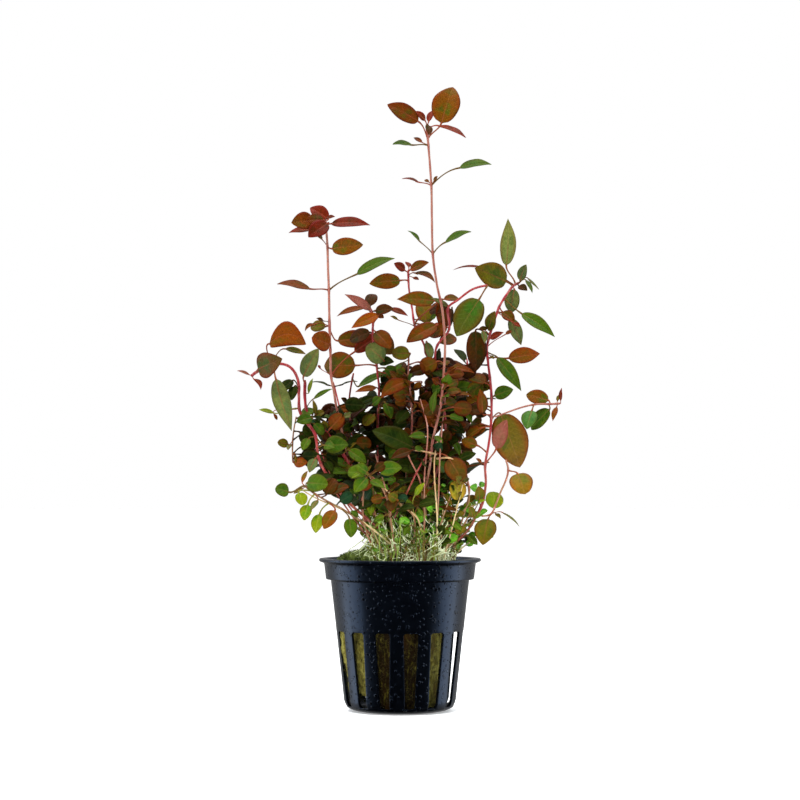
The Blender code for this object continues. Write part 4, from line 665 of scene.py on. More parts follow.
        LeafPlan((14.3, 109.4), (18.6, 110.6), (25.4, 111.4), 4.6, 20, 4, Tint.GREEN),
        LeafPlan((14.9, 104.8), (16.4, 104.2), (18.6, 110), 4.4, 25, -2, Tint.GREEN),
        LeafPlan((15.4, 98), (17, 98.2), (22, 95.4), 4.4, 25, 3, Tint.DARK),
        LeafPlan((15.6, 95), (21.8, 104.2), (24.8, 98.6), 2.8, 25, 7, Tint.GREEN),
        LeafPlan((15, 91.6), (18.6, 92.6), (20.6, 87.6), 2.8, 25, 5, Tint.GREEN),
    )),
    StemPlan("stem_right", (
        (13.4, None, 6), (17.6, 56.4, 7), (22.4, 60.8, 8), (25.6, 65.6, 9), (28.4, 71.4, 10),
        (29.5, 78, 10), (29.3, 84.3, 11), (30.6, 92, 11), (31.4, 100, 9), (31.4, 110, 7), (30.3, 120, 5),
        (30.1, 126, 3), (33.5, 137, -2), (35, 140.3, -4), (38.6, 145.6, -7), (41.2, 147.2, -9)),
        1.7, 1, Bark.RED, (
        LeafPlan((40, 146.5), (36.6, 153.2), (37.4, 169.3), 5.8, 15, 3, Tint.SAGE, "leaf_upright_green"),
        LeafPlan((39.2, 146), (36.6, 147.5), (26, 152.2), 9, 12, 6, Tint.OLIVE, "leaf_olive_big"),
        LeafPlan((39.6, 146.3), (29.5, 152.1), (18.2, 152), 2.6, 75, -3, Tint.CRIMSON),
        LeafPlan((41, 147.2), (41.4, 148), (43.4, 153.4), 3.6, 20, 3, Tint.GREY),
        LeafPlan((41, 147.2), (43.9, 148.8), (48.1, 144.9), 1.7, 60, 2, Tint.GREY, sweep=1),
        LeafPlan((40.2, 146.6), (43.4, 148), (45.7, 143.7), 1.9, 35, 6, Tint.GREEN),
        LeafPlan((40.6, 146.8), (41, 146), (43.8, 144.5), 2.8, 25, 4, Tint.UMBER),
        LeafPlan((38.6, 145.6), (39.4, 144.8), (38.1, 136.6), 5.6, 15, -4, Tint.GREY),
        LeafPlan((36.2, 142), (42, 136.4), (53.4, 128.7), 4.8, 25, 7, Tint.GREEN, "leaf_right_pointed"),
        LeafPlan((34.2, 138.6), (35.4, 137), (39.5, 133.7), 4, 20, 3, Tint.RUST),
        LeafPlan((33.6, 137.3), (37.9, 134.8), (41.9, 125.5), 4.6, 15, -3, Tint.GREY),
        LeafPlan((33.6, 137.2), (39.4, 133.2), (41.4, 132), 1.7, 25, 4, Tint.CRIMSON),
        LeafPlan((31.2, 130), (30.5, 130.9), (32.6, 137.2), 4.2, 20, 6, Tint.OLIVE),
        LeafPlan((31.2, 130), (30, 131.4), (27, 131.2), 1.7, 25, 4, Tint.UMBER),
        LeafPlan((30.8, 128.4), (28.6, 130.6), (29.2, 126.1), 2.4, 25, 4, Tint.GREY),
        LeafPlan((30.4, 127), (31.2, 127.9), (35.6, 130.1), 2.6, 25, 4, Tint.CRIMSON),
        LeafPlan((30.9, 129.2), (26, 130.4), (26.1, 116.5), 7.4, 15, 3, Tint.UMBER, "leaf_umber_hanging"),
        LeafPlan((30.1, 124.6), (36.5, 129.4), (38.6, 130.6), 1.6, 30, -4, Tint.RUST),
        LeafPlan((30.3, 121.2), (37.4, 121.1), (48.4, 122.8), 5.8, 12, -5, Tint.ORANGE, "leaf_right_oval"),
        LeafPlan((30.2, 123), (33.6, 121.2), (41.8, 110), 5, 15, 6, Tint.GREEN, "leaf_right_slant"),
        LeafPlan((30.2, 122.6), (31.2, 121.9), (32.4, 120.9), 1.2, 20, 3, Tint.OLIVE),
        LeafPlan((30.8, 114.6), (30, 113.4), (28.6, 116.3), 2.5, 20, -4, Tint.UMBER),
        LeafPlan((31.2, 108), (30.8, 110.6), (27, 111.8), 4, 20, -4, Tint.OLIVE),
        LeafPlan((31.4, 106.8), (32.6, 108.2), (38.9, 110.4), 4.8, 15, 3, Tint.GREEN),
        LeafPlan((31.4, 101.4), (28.4, 102.2), (27.6, 110.6), 4.2, 20, 3, Tint.RUST),
        LeafPlan((31.4, 100.6), (34.6, 101.8), (41.4, 83.4), 12.2, 8, -5, Tint.RED_EDGED, "leaf_red_edged"),
        LeafPlan((31.4, 100.6), (29.8, 101.6), (26, 101.4), 2.6, 25, -3, Tint.UMBER),
        LeafPlan((31.2, 98), (29.4, 97.6), (24, 94.6), 4.2, 25, -3, Tint.BRONZE),
        LeafPlan((29.3, 84.3), (33.2, 90.2), (36.6, 99.9), 5.4, 15, 6, Tint.PINK, "leaf_pink_under"),
        LeafPlan((29.3, 84.3), (28, 85.2), (26.2, 86.6), 1.3, 25, 2, Tint.RUST),
        LeafPlan((29.3, 84), (24, 84), (18, 84), 4, 25, -7, Tint.UMBER),
        LeafPlan((28.4, 71.6), (27.4, 72.4), (27, 77), 4, 20, 3, Tint.OLIVE),
        LeafPlan((27.6, 69.6), (25.9, 73.6), (23, 71.8), 2.4, 20, -5, Tint.BRONZE),
        LeafPlan((27, 68.6), (25, 66.6), (24, 70.2), 2.8, 25, 5, Tint.OLIVE),
        LeafPlan((21.4, 59.8), (23.4, 59.8), (26.6, 57), 2.8, 20, 4, Tint.GREEN),
    )),
    StemPlan("branch_low_right", (
        (28.1, 66.7, 13), (31.2, 67.4, 14), (32.8, 70.4, 13), (34.6, 75, 14), (36.6, 79.6, 14),
        (37.2, 83, 14), (36.4, 86.2, 14)), 1.2, 0.9, Bark.PINK, (
        LeafPlan((37.2, 82.6), (40.4, 81.3), (43, 74.5), 8, 12, 3, Tint.AMBER, "leaf_low_right_round"),
        LeafPlan((32.6, 69.8), (32.4, 69.4), (32.2, 75.3), 6.3, 15, -5, Tint.LIME),
        LeafPlan((31.2, 67.4), (30.3, 65.7), (28.4, 57), 7.6, 10, 3, Tint.OLIVE, "leaf_low_right_olive"),
        LeafPlan((31.6, 67.8), (35.4, 67.9), (41.3, 63.4), 1.8, 65, 3, Tint.GREY, sweep=0.6),
        LeafPlan((31.6, 67.8), (33, 67.6), (34.6, 66), 1.6, 30, 6, Tint.OLIVE),
    )),
    StemPlan("branch_far_right", (
        (32.8, 100.9, 12), (36.8, 102.4, 14), (42, 104.2, 14), (46.8, 105.2, 13), (51.8, 105.3, 12),
        (55.2, 105.5, 12)), 1.1, 0.9, Bark.PINK, (
        LeafPlan((51.8, 105.3), (51, 106.6), (43.3, 108.7), 5.2, 15, -4, Tint.BRONZE, "leaf_far_bronze"),
        LeafPlan((46.4, 105.1), (45.4, 103), (43.6, 96.8), 5.6, 15, 5, Tint.JADE, "leaf_far_heart_left"),
        LeafPlan((51.4, 105.3), (51.4, 103.4), (45, 96.4), 5.4, 20, -4, Tint.GREEN),
        LeafPlan((55, 105.5), (55.3, 106.6), (55.6, 110.9), 1.5, 30, 2, Tint.CRIMSON),
        LeafPlan((54.4, 105.4), (53.9, 104.2), (52.5, 99.5), 2.1, 20, 3, Tint.ORANGE),
        LeafPlan((53.8, 105.4), (54.2, 106.4), (54.9, 108.6), 1.4, 25, -2, Tint.OLIVE),
    )),
    StemPlan("stem_left_arch", (
        (-2, None, 9), (-6, 61, 11), (-12, 66.4, 13), (-18.6, 72.4, 14), (-24.8, 80.6, 15),
        (-28, 86.8, 15), (-29.3, 95, 14), (-34.2, 102, 14), (-34.8, 108, 16), (-35, 113, 18),
        (-36.8, 117, 20), (-40, 119, 21), (-45, 118.8, 21), (-49.6, 116.2, 22), (-51.2, 114.9, 23)),
        2, 1.2, Bark.RED, (
        LeafPlan((-45, 118.8), (-44.9, 126.1), (-32.4, 126), 8.6, 12, 3, Tint.ORANGE, "leaf_dome", sweep=-3.2),
        LeafPlan((-44.8, 118.8), (-39.4, 124.3), (-32.2, 122.6), 2.5, 35, -5, Tint.OLIVE),
        LeafPlan((-49.6, 116.2), (-48.8, 117.3), (-41, 120.8), 8.6, 10, 12, Tint.MUD, "leaf_left_round"),
        LeafPlan((-51, 115), (-51.9, 115.4), (-56.1, 116.9), 1.3, 40, 2, Tint.PINK),
        LeafPlan((-50.9, 115.1), (-50.3, 113.9), (-47.9, 110.3), 1.9, 25, 3, Tint.CRIMSON, sweep=-0.8),
        LeafPlan((-43, 118.9), (-42.7, 113.8), (-37.1, 96.2), 6.2, 15, 5, Tint.GREY, "leaf_left_long", sweep=0.8),
        LeafPlan((-34.9, 111), (-37, 113.4), (-41.4, 109.6), 3.6, 20, 4, Tint.DARK),
        LeafPlan((-34.9, 110), (-36.2, 111.4), (-37.4, 106.6), 3.4, 20, 4, Tint.DARK),
        LeafPlan((-34.4, 104), (-43.6, 102.2), (-48.7, 103.5), 1.8, 35, -4, Tint.LIME),
        LeafPlan((-34.4, 104), (-43.4, 101.8), (-42.2, 99.8), 1.3, 30, -6, Tint.RUST),
        LeafPlan((-31.6, 98), (-30.4, 100.6), (-35.6, 99.2), 4.2, 20, 5, Tint.GREEN),
        LeafPlan((-29.2, 94.4), (-31.4, 93.4), (-33.6, 89.4), 3.4, 20, 4, Tint.GREEN),
        LeafPlan((-29.2, 94), (-25.6, 91), (-17.8, 91.4), 6.2, 12, 5, Tint.GREEN),
        LeafPlan((-28, 86.8), (-29.2, 86.5), (-31.2, 81.9), 3.5, 15, 4, Tint.GREY),
        LeafPlan((-27.2, 85.2), (-25.4, 86.2), (-21.3, 80.5), 4.4, 20, -4, Tint.DARK),
    )),
    StemPlan("stem_left_red", (
        (-4.5, None, 4), (-6.2, 60, 4), (-12.3, 66, 5), (-13.4, 76, 6), (-19.5, 88, 7), (-26, 96.2, 8),
        (-31.4, 101.2, 9), (-32.7, 107, 9), (-32.7, 113.6, 9)), 1.9, 1.3, Bark.RED, (
        LeafPlan((-32.7, 112), (-33.2, 114.9), (-28.2, 124.4), 5.8, 15, 4, Tint.GREY),
        LeafPlan((-32.7, 108.4), (-31.4, 109.2), (-30, 114.4), 1.6, 30, -4, Tint.LIME),
        LeafPlan((-32, 104), (-29.6, 107.2), (-23.3, 110.7), 1.9, 35, 3, Tint.GREEN),
        LeafPlan((-31.2, 101), (-29, 101.6), (-30, 107), 1.9, 30, 3, Tint.OLIVE),
        LeafPlan((-19.5, 88), (-17.4, 89.4), (-11.6, 85.1), 4.4, 15, 4, Tint.GREEN),
        LeafPlan((-18, 86), (-19.4, 84.6), (-16.4, 80.6), 3.4, 20, 3, Tint.OLIVE),
        LeafPlan((-12.5, 70), (-9.4, 72), (-10.2, 67), 3.1, 15, 4, Tint.LIME),
    )),
    StemPlan("shoot_hanging_left", (
        (-35.7, 101, 12), (-36.6, 96, 12), (-37, 90.5, 12), (-36.8, 85, 12)), 0.9, 0.7, Bark.PALE, (
        LeafPlan((-37, 91.5), (-38.5, 91.4), (-42.1, 92.2), 3.2, 15, 2, Tint.OLIVE),
        LeafPlan((-37, 92.5), (-37.8, 91.4), (-38.6, 89.6), 1.8, 25, 5, Tint.GREY),
        LeafPlan((-36.8, 85.4), (-36.2, 85), (-31.8, 85.2), 3.7, 15, 2, Tint.ORANGE),
        LeafPlan((-36.9, 87), (-36.2, 88.2), (-36.2, 84.2), 1.5, 40, 5, Tint.BRONZE),
    )),
    StemPlan("stem_left_pale", (
        (-4.8, None, 14), (-9, 61, 17), (-13, 64.6, 19), (-20, 69.3, 21), (-24.2, 71.4, 22),
        (-29.2, 74.4, 22), (-32.8, 77.2, 22)), 1.2, 0.8, Bark.PALE, (
        LeafPlan((-32.8, 76.6), (-31.9, 78.2), (-25, 77.7), 6.4, 12, 5, Tint.GREEN, "leaf_low_left_round"),
        LeafPlan((-32.8, 77.2), (-38.3, 75), (-42.9, 76.2), 4.8, 20, 2, Tint.GREEN),
        LeafPlan((-32.6, 77), (-33.6, 78.4), (-31.8, 82.5), 1.8, 35, -3, Tint.BRONZE),
        LeafPlan((-32.4, 76.8), (-33.4, 76.3), (-36.8, 74.5), 1.7, 30, -4, Tint.OLIVE),
        LeafPlan((-30.8, 75.5), (-34.8, 74.7), (-33.2, 70.6), 4.2, 15, 3, Tint.LIME),
        LeafPlan((-29.2, 74.4), (-31.7, 70.6), (-33, 65.3), 4.2, 15, 3, Tint.LIME),
        LeafPlan((-29.2, 74.4), (-28.3, 72.2), (-30.8, 68.6), 2.2, 30, 5, Tint.GREY),
        LeafPlan((-24.4, 71.5), (-27.7, 67.3), (-29.1, 61), 4.2, 15, 3, Tint.LIME),
        LeafPlan((-24.2, 71.4), (-22.4, 68.6), (-26.2, 62.4), 4.8, 15, 4, Tint.BRONZE),
        LeafPlan((-20, 69.3), (-17.4, 65.8), (-16.8, 59.4), 4.8, 15, 3, Tint.GREEN),
        LeafPlan((-13.4, 64.9), (-14.4, 66.8), (-17, 68.4), 2.2, 25, 3, Tint.GREEN),
    )),
    StemPlan("stem_short_front", (
        (-0.8, None, 15), (-2.8, 63, 18), (-3.6, 70, 20), (-6.4, 77, 22), (-10.6, 80.8, 23)),
        1.2, 0.9, Bark.PINK, (
        LeafPlan((-10.4, 80.7), (-7, 82.6), (0.6, 83.5), 5.3, 15, 4, Tint.GREEN),
        LeafPlan((-10.4, 80.7), (-11.6, 79.8), (-15.6, 75), 4.8, 20, 3, Tint.GREEN),
        LeafPlan((-9.6, 80), (-10, 79), (-5.2, 76.4), 3.2, 25, 6, Tint.GREEN),
        LeafPlan((-10.6, 80.8), (-13.4, 81.4), (-16.8, 79.8), 1.6, 40, 2, Tint.LIME),
        LeafPlan((-3.4, 68.4), (-5.6, 66.8), (-8.8, 65), 2.6, 25, 3, Tint.GREEN),
    )),
    StemPlan("stem_slanting", (
        (4, None, 13), (5, 65.5, 17), (0, 70.6, 21), (-3.9, 75.4, 16)), 1, 0.7, Bark.PALE, (
        LeafPlan((5, 65.5), (5.2, 74), (8.5, 78.4), 2.4, 20, 4, Tint.LIME),
        LeafPlan((5, 65.5), (6.2, 69.4), (8, 66.2), 1.8, 25, 3, Tint.GREEN),
        LeafPlan((4.6, 62), (3.4, 63.4), (1.2, 60), 2.4, 25, 3, Tint.GREEN),
        LeafPlan((2.6, 68), (2.8, 72.4), (7.4, 71.2), 3.8, 20, -2, Tint.UMBER),
    )),
    StemPlan("stem_short_right", (
        (10.6, None, 11), (13.2, 60, 12), (18.5, 65, 13), (21.4, 68, 13), (23.7, 72, 13), (23.2, 79.6, 12)),
        1.1, 0.7, Bark.PALE, (
        LeafPlan((23.4, 77.6), (19.6, 79.2), (19.8, 72.2), 6, 15, 4, Tint.STRAW),
        LeafPlan((23.2, 79.4), (20.4, 86.4), (26.1, 88.4), 3.4, 20, 2, Tint.DARK),
        LeafPlan((20.6, 67.2), (14.2, 70), (20.3, 68.4), 1.9, 30, 4, Tint.UMBER),
        LeafPlan((18, 64.6), (14.8, 74.4), (18.2, 70.2), 1.8, 30, 3, Tint.OLIVE),
        LeafPlan((15, 61.8), (17.6, 65), (21.2, 61.8), 2.8, 25, 4, Tint.GREEN),
        LeafPlan((13.6, 60.4), (13.2, 61.4), (18.2, 60.8), 2.2, 25, 5, Tint.GREEN),
        LeafPlan((12.2, 57.6), (12.8, 56.6), (17.2, 57.8), 2.6, 25, 4, Tint.GREEN),
    )),
    StemPlan("stem_back_left", (
        (-8, None, -15), (-11.5, 66, -20), (-15.5, 84, -26), (-20, 101, -31), (-23, 113, -35)),
        1.4, 0.8, Bark.RED, (), (
        PairPlan(82, 112, 3, 10.9, 20, Tint.DARK),
    )),
    StemPlan("stem_back_centre", (
        (0, None, -15), (1, 70, -21), (0.5, 88, -26), (0, 104, -29), (1, 116, -31)), 1.4, 0.8, Bark.RED, (), (
        PairPlan(82, 115, 3, 11, 65, Tint.UMBER),
    )),
    StemPlan("stem_back_right", (
        (10, None, -12), (15, 66, -18), (20.5, 82, -23), (24, 99, -27), (24, 112, -30), (23, 121, -32)),
        1.4, 0.8, Bark.RED, (), (
        PairPlan(79, 120, 4, 11, 35, Tint.DARK),
    )),
)

# The thin stalks in front of the crowded middle, from the foot up
FRONT_STALKS = (
    (Bark.YOUNG, ((9.0, 52.5, 12), (6.3, 65.4, 17), (0.8, 70.2, 20), (-5.4, 76.4, 22),
                  (-10.2, 79.9, 20), (-15.5, 87, 5))),
    (Bark.PINK, ((-8.0, 53.0, 12), (-12.3, 64.0, 17), (-12.5, 75.7, 17), (-11.0, 86, 0))),
    (Bark.PINK, ((-1.0, 52.5, 12), (-3.3, 64.7, 17), (-4.7, 75.0, 18), (-8.5, 88, 3))),
    (Bark.PINK, ((8.0, 68.0, 10), (7.0, 78.5, 19), (2.9, 87.4, 20), (0.0, 96, 4))),
    (Bark.RED, ((-3.5, 63.0, 10), (1.5, 73.0, 18), (7.3, 84.7, 20), (13.0, 93, 5))),
    (Bark.PINK, ((7.5, 52.5, 12), (8.4, 64.7, 18), (8.4, 79.9, 20), (9.5, 96.4, 20), (7.0, 107, 8))),
    (Bark.YOUNG, ((12.0, 52.5, 10), (12.8, 64.7, 17), (11.8, 85.4, 20), (14.5, 98, 5))),
    (Bark.PINK, ((12.5, 60.0, 14), (13.3, 75.0, 19), (13.9, 90.0, 20), (15.6, 108, 5))),
    (Bark.YOUNG, ((12.6, 86.5, 17), (17.3, 86.7, 19), (21.5, 84.0, 10))),
    (Bark.YOUNG, ((12.6, 88.0, 17), (8.0, 89.0, 21), (2.5, 89.5, 12))),
    (Bark.PINK, ((18.5, 56.0, 8), (23.5, 73.0, 12), (23.3, 79.2, 12), (20.0, 93, 0))),
    (Bark.RED, ((-4.0, 53.0, 10), (-14.5, 66.0, 15), (-22.5, 78.0, 17), (-28.0, 91.0, 8))),
    (Bark.RED, ((-6.0, 53.0, 8), (-18.0, 69.0, 14), (-25.0, 80.0, 15), (-31.0, 94.0, 5))),
    (Bark.YOUNG, ((2.0, 52.5, 12), (-9.0, 62.0, 18), (-19.0, 68.5, 18), (-29.0, 73.0, 12), (-34.0, 76, 5))),
)


# Places and paths


def sight(x: float, z: float, toward: float) -> Vector:
    """Return the place that is seen at (x, z) from the front and lies toward the viewer by so much.

    Args:
        x: Millimetres to the right of the pot's axis, as seen.
        z: Millimetres above the floor, as seen.
        toward: Millimetres in front of the axis plane.

    Returns:
        The place in millimetres.
    """
    return Vector((x, 0.0, z)).lerp(VIEW_POINT, toward / -VIEW_POINT.y)


def seen_from_front(spot: Vector) -> Pair:
    """Return where a place is seen from the front, against the axis plane."""
    flat = VIEW_POINT.lerp(spot, VIEW_POINT.y / (VIEW_POINT.y - spot.y))
    return flat.x, flat.z


def round_the_axis(turn: float, out: float = 1.0, height: float = 0.0) -> Vector:
    """Return the place at a turn round the upright axis, so far out and so high."""
    return Vector((out * math.cos(turn), out * math.sin(turn), height))


def smooth_path(points: Sequence[Vector], steps: int) -> list[Vector]:
    """Run a smooth curve through points.

    Args:
        points: The points in order, at least two.
        steps: How many pieces each stretch is cut into.

    Returns:
        The curve's points, with the given ones among them.
    """
    ends = [points[0] * 2 - points[1], *points, points[-1] * 2 - points[-2]]
    path = []
    for place in range(1, len(ends) - 2):
        before, here, there, after = ends[place - 1:place + 3]
        for step in range(steps):
            t = step / steps
            path.append(0.5 * (2 * here + (there - before) * t + (2 * before - 5 * here + 4 * there - after) * t * t
                               + (3 * here - before - 3 * there + after) * t ** 3))
    return path + [points[-1].copy()]


def face_on(axis: Vector, roll: float, where: Vector) -> Vector:
    """Return the way that a leaf's upper face looks.

    Args:
        axis: The leaf's direction from base to tip.
        roll: 0 faces the viewer and 90 faces up.
        where: The leaf's base.

    Returns:
        A unit vector square to the axis.
    """
    to_view = (VIEW_POINT - where).normalized()
    front = (to_view - axis * to_view.dot(axis)).normalized()
    side = axis.cross(front)
    if side.z < -0.05 or (abs(side.z) <= 0.05 and side.x < 0):
        side = -side
    turn = math.radians(roll)
    return front * math.cos(turn) + side * math.sin(turn)


# Meshes


def put(mesh: bpy.types.Mesh, name: str) -> Piece:
    """Place a mesh in the scene.

    Args:
        mesh: The mesh.
        name: The object's name.

    Returns:
        The new object, at the origin.
    """
    piece = bpy.data.objects.new(name, mesh)
    bpy.context.scene.collection.objects.link(piece)
    return piece


def raw_mesh(name: str, points: Sequence[Vector], faces: Sequence[Face], edges: Sequence[Face] = ()) -> bpy.types.Mesh:
    """Make a mesh in metres.

    Args:
        name: Its name.
        points: Its points in millimetres.
        faces: Its faces by point number.
        edges: Its loose edges by point number.

    Returns:
        The mesh.
    """
    mesh = bpy.data.meshes.new(name)
    mesh.from_pydata([point * MM for point in points], edges, faces)
    return mesh


def shade_smooth(mesh: bpy.types.Mesh) -> None:
    """Shade every face of a mesh smooth."""
    mesh.polygons.foreach_set("use_smooth", [True] * len(mesh.polygons))


def bridge(low: Sequence[int], high: Sequence[int], closed: bool = False) -> list[Face]:
    """Return the faces between two rows of numbered points, without corners that fall together.

    Args:
        low: The numbers of the first row.
        high: As many numbers of the second row. One that is repeated makes a triangle or no face.
        closed: Whether each row runs on from its last point to its first.

    Returns:
        The faces in the rows' order.
    """
    count = len(low)
    turns = [(place, (place + 1) % count) for place in range(count if closed else count - 1)]
    rings = [tuple(dict.fromkeys((low[here], low[after], high[after], high[here]))) for here, after in turns]
    return [ring for ring in rings if len(ring) > 2]


def settle(piece: Piece, nodes: Sequence[str] = ()) -> None:
    """Hand a finished piece to the frame.

    Args:
        piece: The finished object.
        nodes: The solids that it stands for.
    """
    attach(piece, BODY)
    if nodes:
        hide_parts(*nodes)
    piece.data.calc_loop_triangles()
    LOG.info("%s: %d triangles", piece.name, len(piece.data.loop_triangles))


@dataclass
class GrownMesh:
    """Points with their marks, and faces with their tints, that are gathered and become one piece."""

    tints: list[Tint] = field(default_factory=list)
    points: list[Vector] = field(default_factory=list)
    faces: list[Face] = field(default_factory=list)
    places: list[int] = field(default_factory=list)
    marks: dict[str, list[float]] = field(default_factory=lambda: {"blade": [], "skin": []})

    def dot(self, spot: Vector, blade: Triple, skin: Triple) -> int:
        """Add a point.

        Args:
            spot: Where it lies, in millimetres.
            blade: Its blade mark.
            skin: Its skin mark.

        Returns:
            Its number.
        """
        self.points.append(spot)
        self.marks["blade"].extend(blade)
        self.marks["skin"].extend(skin)
        return len(self.points) - 1

    def cover(self, faces: Sequence[Face], tint: Tint) -> None:
        """Add faces.

        Args:
            faces: The faces by point number.
            tint: Their tint. It gets a material of its own when it is new.
        """
        if tint not in self.tints:
            self.tints.append(tint)
        self.faces.extend(faces)
        self.places.extend([self.tints.index(tint)] * len(faces))

    def finish(self, name: str, slot: str = "", nodes: Sequence[str] = ()) -> None:
        """Make one piece of what was gathered and settle it.

        Args:
            name: The piece's name.
            slot: The record's material slot, or none for the first tint's. It is not used.
            nodes: The solids that it stands for.
        """
        mesh = raw_mesh(name, self.points, self.faces)
        for mark, values in self.marks.items():
            mesh.attributes.new(mark, "FLOAT_VECTOR", "POINT").data.foreach_set("vector", values)
        for tint in self.tints:
            mesh.materials.append(tint.finish.material())
        mesh.polygons.foreach_set("material_index", self.places)
        shade_smooth(mesh)
        mesh.update()
        settle(put(mesh, name), nodes)


# Leaves


@dataclass(frozen=True)
class BladeForm:
    """The outline of a blade, from a spoon-round one to a narrow one."""

    point: float
    full: float
    taper: float

    @classmethod
    def fitting(cls, width: float, length: float) -> "BladeForm":
        """Choose an outline by how wide the blade is for its length.

        Args:
            width: The blade's greatest width.
            length: Its length.

        Returns:
            The outline.
        """
        stout = width / max(length, 0.1)
        if stout > 0.8:
            return cls(0.94, 0.46, 0.0)
        if stout > 0.5:
            return cls(0.86, 0.50, 0.26)
        return cls(0.78, 0.64, 0.36)

    def half(self, share: float) -> float:
        """Return the half width's share of its greatest at a share of the length."""
        inside = min(max(share, 0.0), 1.0)
        return max(0.0, math.sin(math.pi * inside ** self.point)) ** (self.full + self.taper * inside)


@dataclass
class Leaf:
    """One leaf: a petiole that leaves the stem and a thin, folded and bowed blade."""

    start: Vector
    leaving: Vector
    base: Vector
    tip: Vector
    facing: Vector
    width: float
    shade: float
    seed: float
    sweep: float = 0.0
    petiole_half: float = 0.30
    grid: tuple[int, int, int] = FINE_GRID
    blade_half_thick: float = 0.13
    fold: float = 0.17
    bow: float = 0.06
    rim_wave: float = 0.035
    rib_groove: float = 0.16
    petiole_steps: int = 8

    def __post_init__(self) -> None:
        """Work out the blade's length and directions, and how thick its petiole is."""
        reach = self.tip - self.base
        self.length = reach.length
        self.axis = reach.normalized()
        self.side = self.axis.cross(self.facing).normalized()
        self.normal = self.side.cross(self.axis).normalized()
        self.stalk = min(self.petiole_half, 0.055 * self.width + 0.10)

    def grow(self, into: GrownMesh, tint: Tint) -> None:
        """Add the leaf to a gathered mesh.

        Args:
            into: The gathered mesh.
            tint: The leaf's colour.
        """
        columns, rows, around = self.grid if self.width > SMALL_LEAF else min(self.grid, PLAIN_GRID)
        self.add_blade(into, tint, columns, rows)
        self.add_petiole(into, tint, around)

    def add_blade(self, into: GrownMesh, tint: Tint, columns: int, rows: int) -> None:
        """Add the blade as a closed sheet whose two faces share their rim.

        Args:
            into: Where it goes.
            tint: Its colour.
            columns: Quads across, an even number.
            rows: Quads along.
        """
        form = BladeForm.fitting(self.width, self.length)
        half_thick = min(self.blade_half_thick, 0.018 * self.width + 0.05)
        fold = self.fold * (1.0 + 0.35 * math.sin(self.seed * 3.1))
        top, bottom = [], []
        for row in range(rows + 1):
            share = row / rows
            eased = share - 0.06 * math.sin(FULL_TURN * share)
            bend = 4 * eased * (1 - eased)
            droop = self.bow * self.length * bend - 0.05 * self.length * max(0.0, eased - 0.6) ** 2 * 6
            middle = self.base.lerp(self.tip, eased) + self.normal * droop + self.side * self.sweep * bend
            half = max(self.width / 2 * form.half(eased), self.stalk * (1 - eased) if eased > 0.02 else self.stalk)
            if row == rows:
                tip = into.dot(middle, (0.0, eased * self.length, 1.0), (self.shade, 0.0, eased))
                top.append([tip] * (columns + 1))
                bottom.append(top[-1])
                continue
            upper, under = [], []
            for column in range(columns + 1):
                across = -1 + 2 * column / columns
                out, far = across * half, abs(across)
                cup = half * fold * far ** 1.35
                phase = eased * 11 + self.seed * 5 + (2.2 if across > 0 else 0)
                ripple = half * self.rim_wave * far ** 2 * math.sin(phase)
                groove = -min(self.rib_groove, 0.035 * self.width) * math.exp(-(out / 0.32) ** 2) * min(1.0, 4 * share)
                pucker = abs(math.sin((share * rows * 0.5 + far * 0.8) * math.pi))
                puff = 0.045 * min(half, 4.0) * pucker * far * (1 - far)
                centre = middle + self.side * out + self.normal * (cup + ripple)
                thick = half_thick * (1 - 0.5 * far) + (0.4 * self.stalk * (1 - share) * math.exp(-(out / 0.45) ** 2))
                mark, skin = (out, eased * self.length, far), (self.shade, 0.0, eased)
                if column in (0, columns):
                    upper.append(into.dot(centre, mark, skin))
                    under.append(upper[-1])
                    continue
                upper.append(into.dot(centre + self.normal * (thick * 0.6 + groove + puff), mark, skin))
                below = centre - self.normal * (thick - groove * 0.6 - puff * 0.7)
                under.append(into.dot(below, mark, (self.shade, 1.0, eased)))
            top.append(upper)
            bottom.append(under)
        faces = []
        for sheet, way in ((top, 1), (bottom, -1)):
            for low, high in zip(sheet, sheet[1:]):
                faces.extend(face[::way] for face in bridge(low, high))
        faces.append(tuple(reversed(top[0] + bottom[0][-2:0:-1])))
        into.cover(faces, tint)

    def add_petiole(self, into: GrownMesh, tint: Tint, around: int) -> None:
        """Add the petiole as a closed tube that runs on under the blade's foot.

        Args:
            into: Where it goes.
            tint: Its colour.
            around: Points round the tube.
        """
        reach = (self.base - self.start).length
        turn_out = self.start + self.leaving * reach * 0.38
        turn_in = self.base - self.axis * reach * 0.34
        path = []
        for step in range(self.petiole_steps + 1):
            t = step / self.petiole_steps
            path.append(self.start * (1 - t) ** 3 + turn_out * 3 * t * (1 - t) ** 2 + turn_in * 3 * t * t * (1 - t)
                        + self.base * t ** 3)
        path.append(self.base + self.axis * min(0.16 * self.length, 2.2) - self.normal * self.stalk * 0.35)
        rings = []
        across, last = self.side, len(path) - 1
        for place, spot in enumerate(path):
            ahead = (path[min(place + 1, last)] - path[max(place - 1, 0)]).normalized()
            across = (across - ahead * across.dot(ahead)).normalized()
            up = across.cross(ahead).normalized()
            waist = 1.25 - 0.45 * math.sin(math.pi * min(place / last * 1.15, 1.0))
            size = self.stalk * waist * (0.35 if place == last else 1.0)
            turns = [FULL_TURN * corner / around for corner in range(around)]
            rings.append([into.dot(spot + across * math.cos(turn) * size + up * math.sin(turn) * size * 0.85,
                                   (0.0, 0.0, -1.0), (self.shade, 0.0, 0.0)) for turn in turns])
        faces = [tuple(rings[0]), tuple(reversed(rings[-1]))]
        for low, high in zip(rings, rings[1:]):
            faces.extend((one, four, three, two) for one, two, three, four in bridge(low, high, closed=True))
        into.cover(faces, tint)


# The rockwool


